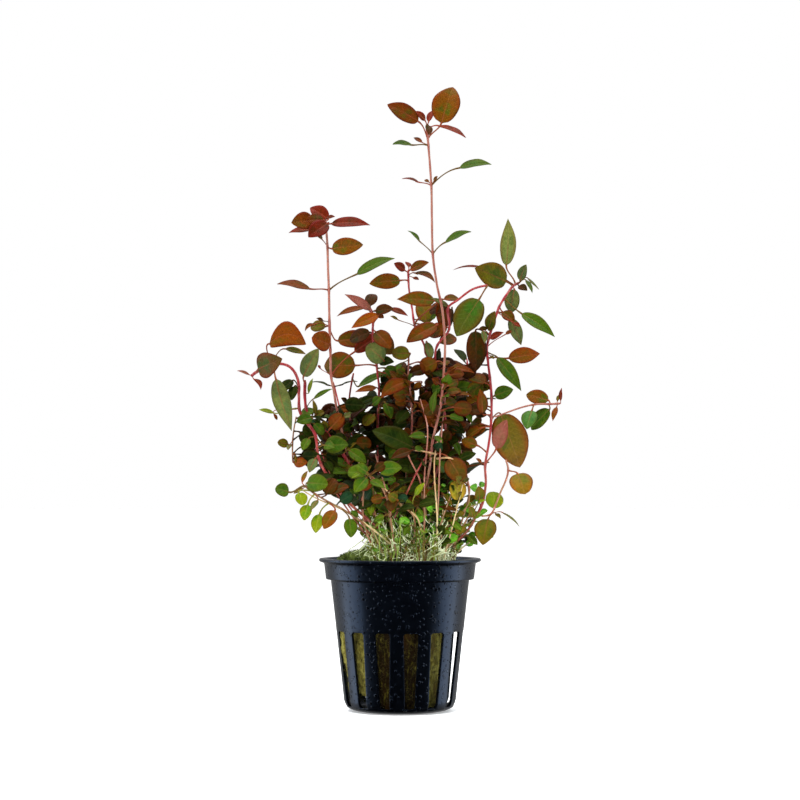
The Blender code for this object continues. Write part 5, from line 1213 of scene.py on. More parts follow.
@dataclass
class RockwoolPlug:
    """The block of mineral wool in the pot, grown over with algae and a cushion of moss."""

    foot_z: float = 1.5
    shoulder_z: float = 49.6
    foot_radius: float = 15.0
    shoulder_radius: float = 21.9
    top_z: float = 51.2
    moss_peak: Triple = (-10.5, -5.0, 4.0)
    moss_spread: Pair = (10.5, 10.0)
    crown_peak: Triple = (5.0, 0.0, 2.2)
    crown_spread: Pair = (12.0, 12.0)
    around: int = 168
    up: int = 120
    across_top: int = 44
    fur: float = 0.55
    sink: float = 0.35
    # Its lower part stands a little to the left, and it shifts over a few millimetres of height
    lean: float = -2.0
    lean_below: float = 46.0
    lean_over: float = 14.0
    # Below the slots' tops its left side bulges out at one turn, given in degrees
    press: float = 1.1
    press_growth: float = 0.055
    press_turn: float = 202.7
    press_width: float = 8.0
    press_below: float = 27.4
    wave: float = 0.45
    # Its foot is lifted on the left
    foot_lift: float = 5.0
    lift_from: float = 5.0
    lift_over: float = 8.0
    rim_rings: int = 5
    moss_from: float = 50.6
    moss_least: float = 0.35

    @staticmethod
    def hump(x: float, y: float, peak: Triple, spread: Pair) -> float:
        """Return the height of a soft hump at a place."""
        across, along = (x - peak[0]) / spread[0], (y - peak[1]) / spread[1]
        return peak[2] * math.exp(-across * across - along * along)

    def moss(self, x: float, y: float) -> float:
        """Return how deep the moss cushion is at a place."""
        return self.hump(x, y, self.moss_peak, self.moss_spread)

    def top(self, x: float, y: float) -> float:
        """Return the height of the plug's grown-over top at a place."""
        crown = self.hump(x, y, self.crown_peak, self.crown_spread)
        return self.top_z + self.moss(x, y) + crown + 0.25 * math.sin(0.9 * x) * math.cos(0.8 * y)

    def wall_radius(self, height: float, turn: float) -> float:
        """Work out the plug's radius, as its solid has it.

        Args:
            height: Millimetres above the floor.
            turn: Radians round the axis.

        Returns:
            The radius in millimetres.
        """
        share = (height - self.foot_z) / (self.shoulder_z - self.foot_z)
        radius = self.foot_radius + (self.shoulder_radius - self.foot_radius) * share
        if height < self.press_below:
            pressed = self.press + self.press_growth * (self.press_below - height)
            radius += pressed * math.exp(-((math.degrees(turn) - self.press_turn) / self.press_width) ** 2)
        return radius + self.wave * (math.sin(3 * turn + 0.21 * height) + 0.6 * math.sin(7 * turn - 0.13 * height))

    def rings(self) -> list[list[Vector]]:
        """Lay rings of points up the wall and in over the top.

        Returns:
            The rings, from the foot on.
        """
        rings = []
        for level in range(self.up + 1):
            height = self.foot_z + (self.shoulder_z - self.foot_z) * level / self.up
            lean = self.lean * min(1.0, max(0.0, (self.lean_below - height) / self.lean_over))
            ring = []
            for corner in range(self.around):
                turn = FULL_TURN * corner / self.around
                radius = self.wall_radius(height, turn)
                x, y = radius * math.cos(turn) + lean, radius * math.sin(turn)
                lift = self.foot_lift * min(1.0, max(0.0, (-x - self.lift_from) / self.lift_over))
                ring.append(Vector((x, y, height + lift * (1 - level / self.up))))
            rings.append(ring)
        shoulder = rings[-1]
        for level in range(1, self.across_top):
            share = level / self.across_top
            rise = math.sin(min(1.0, level / self.rim_rings) * math.pi / 2)
            flat = [(edge.x * (1 - share), edge.y * (1 - share), edge.z) for edge in shoulder]
            rings.append([Vector((x, y, z + (self.top(x, y) - z) * rise)) for x, y, z in flat])
        return rings

    def surface(self, name: str) -> bpy.types.Mesh:
        """Make the furry closed surface of the plug.

        Args:
            name: The mesh's name.

        Returns:
            The mesh.
        """
        points = [point for ring in self.rings() for point in ring] + [Vector((0.0, 0.0, self.top(0.0, 0.0)))]
        rows = [range(first, first + self.around) for first in range(0, len(points) - 1, self.around)]
        faces = [face for low, high in zip(rows, rows[1:]) for face in bridge(low, high, closed=True)]
        faces.append(tuple(reversed(rows[0])))
        faces.extend(bridge(rows[-1], [len(points) - 1] * self.around, closed=True))
        mesh = raw_mesh(name, points, faces)
        mesh.update()
        normals = [Vector(vertex.normal) for vertex in mesh.vertices]
        for vertex, normal, point in zip(mesh.vertices, normals, points):
            strand = Vector((point.x + 0.3 * point.z, point.y + 0.35 * point.z, point.z * 0.22))
            rough = noise.fractal(strand * 0.9, 0.8, 2.1, 4) * 0.5 + noise.noise(point * 0.35)
            vertex.co += normal * (rough * self.fur - self.sink) * MM
        shade_smooth(mesh)
        return mesh

    def patch(self, name: str, low: float, high: float, mossy: float) -> Piece:
        """Cut out a part of the surface to sow on.

        Args:
            name: Its name.
            low: The least height.
            high: The greatest height.
            mossy: The least depth of moss.

        Returns:
            The part, not settled.
        """
        mesh = self.surface(name)
        shape = bmesh.new()
        shape.from_mesh(mesh)
        gone = []
        for face in shape.faces:
            x, y, z = face.calc_center_median() / MM
            if not low <= z <= high or self.moss(x, y) < mossy:
                gone.append(face)
        bmesh.ops.delete(shape, geom=gone, context="FACES")
        shape.to_mesh(mesh)
        shape.free()
        return put(mesh, name)

    def build(self) -> None:
        """Build the plug and settle it."""
        mesh = self.surface("rockwool_plug_fine")
        for finish in (ROCKWOOL, MOSS):
            mesh.materials.append(finish.material())
        for face in mesh.polygons:
            spot = face.center / MM
            grown = self.moss(spot.x, spot.y) + 0.9 * noise.noise(spot * 0.4)
            face.material_index = int(spot.z > self.moss_from and grown > self.moss_least)
        settle(put(mesh, mesh.name), ["rockwool_plug"])


ROCKWOOL = MineralWool("rockwool_spun_mineral", "#8a8440", "#5a521c", "#3a2408")
MOSS = PlainGrowth("moss_cushion", "#5f6f30", "#26300f", 1.6, 0.85)
MOSS_BLADES = PlainGrowth("moss_blades", "#7d8f45", "#3a4718", 2.2, 0.75)
WOOL_FIBRE = PlainGrowth("rockwool_loose_fibre", "#77703a", "#453a14", 3.0, 0.85)
ROOT_HAIR = PlainGrowth("root_hair", "#e6ebc8", "#a8b47c", 4.0, 0.6)
POT_PLASTIC = MouldedPolypropylene("pot_black_polypropylene", "#020306")
PAPER = MattPaper("studio_paper", "#fbfbfa")
PLUG = RockwoolPlug()


# Geometry Nodes trees


def new_tree(name: str, inputs: dict[str, tuple[str, Any]]) -> tuple[Tree, list[Socket]]:
    """Start a Geometry Nodes tree with named inputs.

    Args:
        name: The tree's name.
        inputs: Input name to its kind of socket and its default, or None for no default.

    Returns:
        The tree and the sockets of its inputs, with the geometry first.
    """
    tree = bpy.data.node_groups.new(name, "GeometryNodeTree")
    for way in ("INPUT", "OUTPUT"):
        tree.interface.new_socket("Geometry", in_out=way, socket_type="NodeSocketGeometry")
    for title, (kind, default) in inputs.items():
        socket = tree.interface.new_socket(title, in_out="INPUT", socket_type=f"NodeSocket{kind}")
        if default is not None:
            socket.default_value = default
    return tree, list(tree.nodes.new("NodeGroupInput").outputs)


def end_tree(tree: Tree, grown: Socket, finish: Socket) -> Tree:
    """End a tree in Realize Instances, smooth shading and Set Material.

    Args:
        tree: The tree.
        grown: The geometry so far.
        finish: The material.

    Returns:
        The tree.
    """
    smooth = add(tree, Kind.SMOOTH, add(tree, Kind.REAL, grown))
    feed(tree.nodes.new("NodeGroupOutput"), {0: add(tree, Kind.DRESS, smooth, finish)})
    return tree


def flatten(carrier: Piece, name: str) -> Piece:
    """Turn an object with its modifiers into a plain mesh piece.

    Args:
        carrier: The object. It is removed.
        name: The new piece's name.

    Returns:
        The new piece, with no modifier.
    """
    bpy.context.view_layer.update()
    shown = carrier.evaluated_get(bpy.context.evaluated_depsgraph_get())
    mesh = bpy.data.meshes.new_from_object(shown)
    carrier.modifiers.clear()
    bpy.data.objects.remove(carrier)
    mesh.name = name
    return put(mesh, name)


def grow(carrier: Piece, tree: Tree, values: dict[str, Any], name: str) -> Piece:
    """Run a tree on an object and keep the result as a plain mesh.

    Args:
        carrier: The object that carries the tree. It is removed afterwards.
        tree: The Geometry Nodes tree.
        values: Input name to value.
        name: The new piece's name.

    Returns:
        The new piece, with no modifier.
    """
    modifier = carrier.modifiers.new(tree.name, "NODES")
    modifier.node_group = tree
    for item in tree.interface.items_tree:
        if item.item_type == "SOCKET" and item.in_out == "INPUT" and item.name in values:
            modifier[item.identifier] = values[item.name]
    return flatten(carrier, name)


def sector_ring() -> Tree:
    """Make the tree that repeats one sector round the upright axis.

    Returns:
        The tree.
    """
    tree, (shape, count, finish, *_) = new_tree("sector_ring", {"Count": ("Int", 14), "Finish": ("Material", None)})
    spots = add(tree, Kind.LINE, count, (0.0, 0.0, 0.0))
    turn = add(tree, Kind.TIMES, add(tree, Kind.INDEX), add(tree, Kind.OVER, FULL_TURN, count))
    many = add(tree, Kind.REAL, add(tree, Kind.PLANT, spots, shape, add(tree, Kind.JOIN, 0.0, 0.0, turn)))
    return end_tree(tree, add(tree, Kind.MERGE, many, 0.02 * MM), finish)


def stalk_tube() -> Tree:
    """Make the tree that sweeps a round section along edges, as thick as their thick mark.

    Returns:
        The tree.
    """
    tree, (edges, sides, finish, *_) = new_tree("stalk_tube", {"Sides": ("Int", 12), "Finish": ("Material", None)})
    line, ring = add(tree, Kind.CURVE, edges), add(tree, Kind.CIRCLE, sides, MM)
    return end_tree(tree, add(tree, Kind.SWEEP, line, ring, add(tree, Kind.THICK_MARK, "thick"), True), finish)


def sown_tufts() -> Tree:
    """Make the tree that sows small shapes over a surface, each turned and sized at random.

    Returns:
        The tree.
    """
    tree, (ground, shape, density, least, most, tilt, seed, finish, *_) = new_tree("sown_tufts", {
        "Shape": ("Object", None), "Per Area": ("Float", 1e6), "Least": ("Float", 0.6), "Most": ("Float", 1.2),
        "Tilt": ("Float", 0.6), "Seed": ("Int", 3), "Finish": ("Material", None)})
    spots = add(tree, Kind.SOW, ground, density, seed)
    size = add(tree, Kind.CHANCE, least, most, seed)
    back = add(tree, Kind.TIMES, tilt, -1.0)
    ways = add(tree, Kind.JOIN, back, back, -math.pi), add(tree, Kind.JOIN, tilt, tilt, math.pi)
    lean = add(tree, Kind.CHANCE_WAY, *ways, add(tree, Kind.PLUS, seed, 7))
    turned = add(tree, Kind.TURNED, spots.node.outputs["Rotation"], lean)
    many = add(tree, Kind.PLANT, spots, add(tree, Kind.SHAPE, shape, True), turned, size)
    return end_tree(tree, many, finish)


# The pot


@dataclass
class NetPot:
    """The moulded net pot: rolled lip, flared collar, a step, and a body with tapered slots."""

    slots: int = 14
    first_turn: float = 9.9
    slot_top_z: float = 27.7
    slot_foot_z: float = 2.1
    slot_top_width: float = 5.2
    slot_foot_width: float = 3.3
    round_from_z: float = 27.1
    round_height: float = 0.6
    round_depth: float = 0.55
    whole_from_z: float = 28.0
    rib_columns: int = 5
    slot_columns: int = 3
    floor_radius: float = 9.0
    floor_z: float = 1.2
    edge: float = 0.16
    edge_angle: float = 38.0
    # Radius and height, outside from the foot's corner to the lip's crown and inside back down
    outside: tuple[Pair, ...] = (
        (13.2, 0.0), (13.9, 0.06), (16.1, 0.48), (17.4, 1.02), (18.2, 1.55), (18.5, 2.1), (18.9, 2.9), (19.25, 4.0),
        (19.95, 10.5), (20.85, 18.5), (21.6, 25.4), (21.8, 27.1), (21.87, 27.7), (22.15, 30.2), (23.0, 38.0),
        (23.76, 44.6), (23.86, 44.95), (24.1, 45.12), (25.22, 45.2), (25.42, 45.32), (25.5, 45.7), (25.78, 48.2),
        (26.04, 50.4), (26.2, 50.7), (26.5, 50.9), (27.4, 51.2), (27.62, 51.3), (27.78, 51.5), (27.8, 51.8),
        (27.74, 52.1), (27.55, 52.27), (27.3, 52.3))
    inside: tuple[Pair, ...] = (
        (25.5, 52.3), (25.22, 52.2), (25.08, 51.9), (24.7, 48.6), (24.45, 46.9), (24.22, 46.5), (23.0, 46.0),
        (22.78, 45.6), (22.0, 38.0), (21.15, 30.2), (20.87, 27.7), (20.8, 27.1), (20.6, 25.4), (19.85, 18.5),
        (18.95, 10.5), (18.25, 4.0), (17.75, 2.9), (17.1, 2.1), (16.6, 1.5), (16.2, 1.25), (15.6, 1.2))

    def slot_half(self, height: float) -> float:
        """Work out the slot's half width, with rounded upper corners.

        Args:
            height: Millimetres above the floor.

        Returns:
            The half width in millimetres.
        """
        share = (height - self.slot_foot_z) / (self.slot_top_z - self.slot_foot_z)
        half = (self.slot_foot_width + (self.slot_top_width - self.slot_foot_width) * min(max(share, 0.0), 1.0)) / 2
        rounding = max(0.0, (height - self.round_from_z) / self.round_height) ** 2
        return half - self.round_depth * rounding if height < self.whole_from_z else half

    def columns(self, radius: float, height: float) -> list[Vector]:
        """Lay a row of points across one sector, from rib to slot to rib.

        Args:
            radius: The row's distance from the axis.
            height: Its height.

        Returns:
            The points.
        """
        sector = FULL_TURN / self.slots
        opening = math.asin(min(self.slot_half(height) / radius, 0.5))
        rib = [-sector / 2 + (sector / 2 - opening) * place / self.rib_columns for place in range(self.rib_columns + 1)]
        middle = [-opening + 2 * opening * place / self.slot_columns for place in range(1, self.slot_columns)]
        turns = rib + middle + [-turn for turn in reversed(rib)]
        return [round_the_axis(turn, radius, height) for turn in turns]

    def sector(self) -> Piece:
        """Make one sector of the pot round a slot.

        Returns:
            The sector, turned to where the first slot is.
        """
        profile = [*self.outside, *self.inside, (self.floor_radius, self.floor_z), (self.floor_radius, 0.0)]
        rows = [self.columns(radius, height) for radius, height in profile]
        width, first, last = len(rows[0]), self.rib_columns, self.rib_columns + self.slot_columns
        grid = [range(place * width, place * width + width) for place in range(len(rows))]
        inner = len(self.outside)
        foot_out, top_out = (next(place for place, (_, z) in enumerate(self.outside) if z >= level)
                             for level in (self.slot_foot_z, self.slot_top_z))
        foot_in, top_in = (inner + next(place for place, (_, z) in enumerate(self.inside) if z <= level)
                           for level in (self.slot_foot_z, self.slot_top_z))
        faces = []
        for low, row in enumerate(grid):
            open_row = foot_out <= low < top_out or top_in <= low < foot_in
            faces.extend(face for column, face in enumerate(bridge(row, grid[(low + 1) % len(grid)]))
                         if not (open_row and first <= column < last))
        for rise in range(top_out - foot_out):
            low, high, back, front = foot_out + rise, foot_out + rise + 1, foot_in - rise - 1, foot_in - rise
            for column, way in ((first, 1), (last, -1)):
                faces.append(tuple(grid[row][column] for row in (low, high, back, front))[::way])
        for out_row, in_row, way in ((foot_out, foot_in, -1), (top_out, top_in, 1)):
            faces.extend(face[::way] for face in bridge(grid[out_row], grid[in_row])[first:last])
        points = [point for row in rows for point in row]
        points.extend((Vector((0.0, 0.0, 0.0)), Vector((0.0, 0.0, self.floor_z))))
        under, floor = len(points) - 2, len(points) - 1
        for column in range(width - 1):
            faces.append((grid[-1][column], under, grid[-1][column + 1]))
            faces.append((grid[-2][column], grid[-2][column + 1], floor))
        mesh = raw_mesh("pot_sector", points, faces)
        mesh.transform(Matrix.Rotation(math.radians(self.first_turn - 90), 4, "Z"))
        return put(mesh, mesh.name)

    def build(self) -> None:
        """Build the pot and settle it."""
        values = {"Count": self.slots, "Finish": POT_PLASTIC.material()}
        ring = grow(self.sector(), sector_ring(), values, "net_pot_ring")
        shape = bmesh.new()
        shape.from_mesh(ring.data)
        bmesh.ops.recalc_face_normals(shape, faces=shape.faces)
        shape.to_mesh(ring.data)
        shape.free()
        bevel = ring.modifiers.new("soft_edges", "BEVEL")
        bevel.width = self.edge * MM
        bevel.segments = 2
        bevel.limit_method = "ANGLE"
        bevel.angle_limit = math.radians(self.edge_angle)
        pot = flatten(ring, "net_pot_fine")
        shade_smooth(pot.data)
        settle(pot, ["net_pot"])


# Stems and foliage


@dataclass
class Stem:
    """A stem with its joints and the leaves that it carries."""

    plan: StemPlan
    steps: int = 7
    sides: int = 14
    root_depth: float = 1.2
    swelling: float = 0.24
    joint_reach: float = 1.1
    blunt_tip: float = 0.55

    def __post_init__(self) -> None:
        """Lay the stem's middle line."""
        self.path = smooth_path([self.spot(*point) for point in self.plan.route], self.steps)

    def spot(self, x: float, z: Optional[float], toward: float) -> Vector:
        """Return a route point's place.

        Args:
            x: Millimetres to the right, as seen.
            z: Millimetres above the floor, as seen. The foot has none and roots in the plug.
            toward: Millimetres in front of the axis plane.

        Returns:
            The place in millimetres.
        """
        if z is not None:
            return sight(x, z, toward)
        foot = sight(x, PLUG.top_z, toward)
        foot.z = PLUG.top(foot.x, foot.y) - self.root_depth
        return foot

    def nearest(self, seen: Pair) -> tuple[Vector, Vector]:
        """Find the place on the stem that is seen nearest to a point.

        Args:
            seen: The point as it is seen from the front.

        Returns:
            The place and the stem's direction there.
        """
        best = min(range(len(self.path)), key=lambda place: math.dist(seen_from_front(self.path[place]), seen))
        ahead = self.path[min(best + 1, len(self.path) - 1)] - self.path[max(best - 1, 0)]
        return self.path[best], ahead.normalized()

    def at_height(self, height: float) -> Vector:
        """Return the place where the stem passes a height."""
        return min(self.path, key=lambda spot: abs(spot.z - height))

    def tube(self) -> None:
        """Build the stem's tube, a little swollen and redder at its joints, and settle it."""
        plan, last = self.plan, len(self.path) - 1
        joints = [self.nearest(leaf.joint)[0] for leaf in plan.leaves]
        line = raw_mesh(f"{plan.node}_line", self.path, [], [(place, place + 1) for place in range(last)])
        thick, knot = [], []
        for place, spot in enumerate(self.path):
            share = place / last
            near = min(((spot - joint).length for joint in joints), default=math.inf)
            knot.append(math.exp(-(near / self.joint_reach) ** 2))
            radius = (plan.foot_width + (plan.tip_width - plan.foot_width) * share) / 2
            if place == last:
                radius *= self.blunt_tip
            uneven = 1 + self.swelling * knot[-1] + 0.04 * math.sin(place * 1.7)
            thick.append(radius * (0.47 + 0.27 * share) * uneven)
        for name, values in (("thick", thick), ("knot", knot)):
            line.attributes.new(name, "FLOAT", "POINT").data.foreach_set("value", values)
        values = {"Sides": self.sides, "Finish": plan.bark.finish.material()}
        settle(grow(put(line, line.name), stalk_tube(), values, f"{plan.node}_fine"), [plan.node])

    def leaf(self, plan: LeafPlan, number: int) -> Leaf:
        """Place a leaf that is planned by its front view.

        Args:
            plan: The leaf.
            number: Its place on the stem, for its own small differences.

        Returns:
            The leaf, starting in the middle of the stem.
        """
        joint, along = self.nearest(plan.joint)
        stalk, blade = math.dist(plan.joint, plan.base), math.dist(plan.base, plan.tip)
        hidden = math.sqrt(max(0.0, (LEAF_ASPECT * plan.width) ** 2 - blade ** 2))
        lean = math.copysign(max(abs(plan.lean), TIP_SHARE * hidden), plan.lean)
        share = stalk / (stalk + blade)
        if sum((b - a) * (c - b) for a, b, c in zip(plan.joint, plan.base, plan.tip)) < 0:
            lean = math.copysign(max(abs(lean), FOLDED_LEAN), lean)
            share = max(share, FOLDED_STALK_SHARE)
        base, tip = sight(*plan.base, lean * share - joint.y), sight(*plan.tip, lean - joint.y)
        lead = (base - joint).normalized()
        leaving = (lead + along * (0.35 if along.dot(lead) > -0.2 else -0.1)).normalized()
        facing = face_on((tip - base).normalized(), plan.roll, base)
        own = random.Random(f"{self.plan.node}{number}")
        return Leaf(joint, leaving, base, tip, facing, plan.width, own.uniform(-1, 1), own.uniform(0, 2), plan.sweep)

    def paired(self, plan: PairPlan) -> list[Leaf]:
        """Place opposite pairs of leaves up the stem.

        Args:
            plan: The pairs.

        Returns:
            The leaves.
        """
        leaves = []
        for index in range(plan.count):
            share = index / max(1, plan.count - 1)
            spot = self.at_height(plan.low + share * (plan.high - plan.low))
            size = plan.size * (1 - 0.35 * share) * (1 + 0.12 * math.sin(2.3 * index))
            for half in range(2):
                turn = plan.turn + 90 * index + 180 * half + 12 * math.sin(1.7 * index + half)
                out = round_the_axis(math.radians(turn))
                rise = math.radians(24 + 14 * math.sin(2.1 * index + 1.3 * half))
                axis = out * math.cos(rise) + UP * math.sin(rise)
                facing = UP * math.cos(rise) - out * math.sin(rise)
                base = spot + axis * size * 0.38
                own = random.Random(f"{self.plan.node}{index}{half}{plan.turn}")
                leaves.append(Leaf(spot, axis, base, base + axis * size, facing, size * 0.56, own.uniform(-1, 1),
                                   own.uniform(0, 2)))
        return leaves

    def foliage(self) -> None:
        """Build the stem's leaves: one spray of the small ones, and a piece for each large one."""
        spray = GrownMesh()
        for number, plan in enumerate(self.plan.leaves):
            own = GrownMesh() if plan.node else spray
            self.leaf(plan, number).grow(own, plan.tint)
            if plan.node:
                own.finish(f"{plan.node}_fine", nodes=[plan.node])
        for pairs in self.plan.pairs:
            for leaf in self.paired(pairs):
                leaf.grow(spray, pairs.tint)
        spray.finish(f"{self.plan.node}_foliage", nodes=[self.plan.node])

    def build(self) -> None:
        """Build the stem and its leaves."""
        self.tube()
        self.foliage()


# The crowded middle


def mixed(**shares: int) -> list[Tint]:
    """Return tints to draw from, each as many times as its share says."""
    return [Tint[name] for name, share in shares.items() for _ in range(share)]


@dataclass
class Undergrowth:
    """The crowded small leaves in the middle of the plant, past the number that the solids hold."""

    outline: tuple[Pair, ...] = (
        (-36.5, 103.0), (-24.0, 103.3), (-13.7, 106.0), (-5.1, 107.4), (-5.1, 116.3), (0.1, 117.7), (4.2, 116.3),
        (4.2, 106.7), (8.7, 106.7), (9.7, 118.7), (24.2, 119.8), (27.6, 111.9), (26.9, 99.8), (24.2, 89.5),
        (19.0, 82.6), (17.3, 74.0), (12.0, 69.0), (-10.0, 69.0), (-21.0, 74.0), (-28.5, 82.0), (-34.5, 91.2))
    reach: float = 31.0
    warm_from: float = 100.0
    tries: int = 60

    def within(self, seen: Pair) -> bool:
        """Tell whether a point lies inside the crowded outline.

        Args:
            seen: The point as it is seen from the front.

        Returns:
            True where it lies inside.
        """
        x, z = seen
        odd = False
        for (ax, az), (bx, bz) in zip(self.outline, self.outline[1:] + self.outline[:1]):
            if (az > z) != (bz > z) and x < ax + (bx - ax) * (z - az) / (bz - az):
                odd = not odd
        return odd

    def sprout(self, stems: Sequence[Stem], own: random.Random, sizes: Pair,
               depth: Pair) -> Optional[tuple[Leaf, Pair]]:
        """Try to grow one leaf on one of the stems.

        Args:
            stems: The stems to choose from.
            own: The source of chance.
            sizes: The shortest and longest blade.
            depth: The least and most that the blade may lie toward the viewer.

        Returns:
            The leaf and where its middle is seen, or None where it would lie outside the outline.
        """
        spot = own.choice(own.choice(stems).path)
        turn, rise = own.uniform(0, FULL_TURN), own.uniform(-0.25, 0.8)
        out = Vector((math.cos(turn), math.sin(turn) * 0.8, math.sin(rise))).normalized()
        size = own.uniform(*sizes)
        base = spot + out * size * own.uniform(0.25, 0.8)
        heading = (out + Vector((own.uniform(-0.5, 0.5), own.uniform(-0.5, 0.5), own.uniform(-0.6, 0.2)))).normalized()
        tip = base + heading * size
        middle = base.lerp(tip, 0.5)
        seen = seen_from_front(middle)
        far = math.hypot(tip.x, tip.y) > self.reach or not depth[0] <= -middle.y <= depth[1]
        if far or not self.within(seen):
            return None
        facing = face_on(heading, own.uniform(-15, 75), base)
        width = size * own.uniform(0.62, 0.92)
        return Leaf(spot, out, base, tip, facing, width, own.uniform(-1, 1), own.uniform(0, 2), grid=PLAIN_GRID), seen

    def spread(self, name: str, stems: Sequence[Stem], count: int, sizes: Pair, depth: Pair, cool: Sequence[Tint],
               warm: Sequence[Tint], slot: str, seed: int) -> None:
        """Spread leaves evenly over the crowded outline and settle them as one piece.

        Args:
            name: The piece's name.
            stems: The stems that may carry them.
            count: How many.
            sizes: The shortest and longest blade.
            depth: The least and most that they lie toward the viewer.
            cool: The colours to draw from at the left and below, with repeats for the common ones.
            warm: The colours to draw from at the upper right.
            slot: The record's material slot.
            seed: The seed of their chance.
        """
        own = random.Random(seed)
        spray = GrownMesh(list(dict.fromkeys([*cool, *warm])))
        taken: list[Pair] = []
        for _ in range(count):
            tries = [found for found in (self.sprout(stems, own, sizes, depth) for _ in range(self.tries)) if found]
            if not tries:
                continue
            leaf, seen = max(tries, key=lambda found: min((math.dist(found[1], other) for other in taken), default=0.0))
            taken.append(seen)
            leaf.grow(spray, own.choice(warm if 0.5 * seen[0] + seen[1] > self.warm_from else cool))
        spray.finish(name, slot)

    def build(self, stems: Sequence[Stem]) -> None:
        """Build the shaded leaves behind and the lit ones before them.

        Args:
            stems: The stems that are already laid out.
        """
        self.spread("undergrowth_shaded", stems, count=220, sizes=(5.4, 9.4), depth=(-30.0, 4.0),
                    cool=mixed(SHADED=6, SHADED_GREEN=4, DARK=3, UMBER=2),
                    warm=mixed(SHADED=5, SHADED_GREEN=2, UMBER=6, RUST=1, DARK=1), slot="umber_leaf", seed=5)
        self.spread("undergrowth_lit", stems, count=215, sizes=(3.4, 7.0), depth=(0.0, 26.0),
                    cool=mixed(GREEN=4, SHADED_GREEN=3, DARK=6, OLIVE=2, UMBER=4, TEAL=1, RUST=1, COCOA=1),
                    warm=mixed(UMBER=5, RUST=5, GREEN=3, DARK=3, BRONZE=2, OLIVE=1), slot="dark_leaf", seed=8)


# What grows at the foot


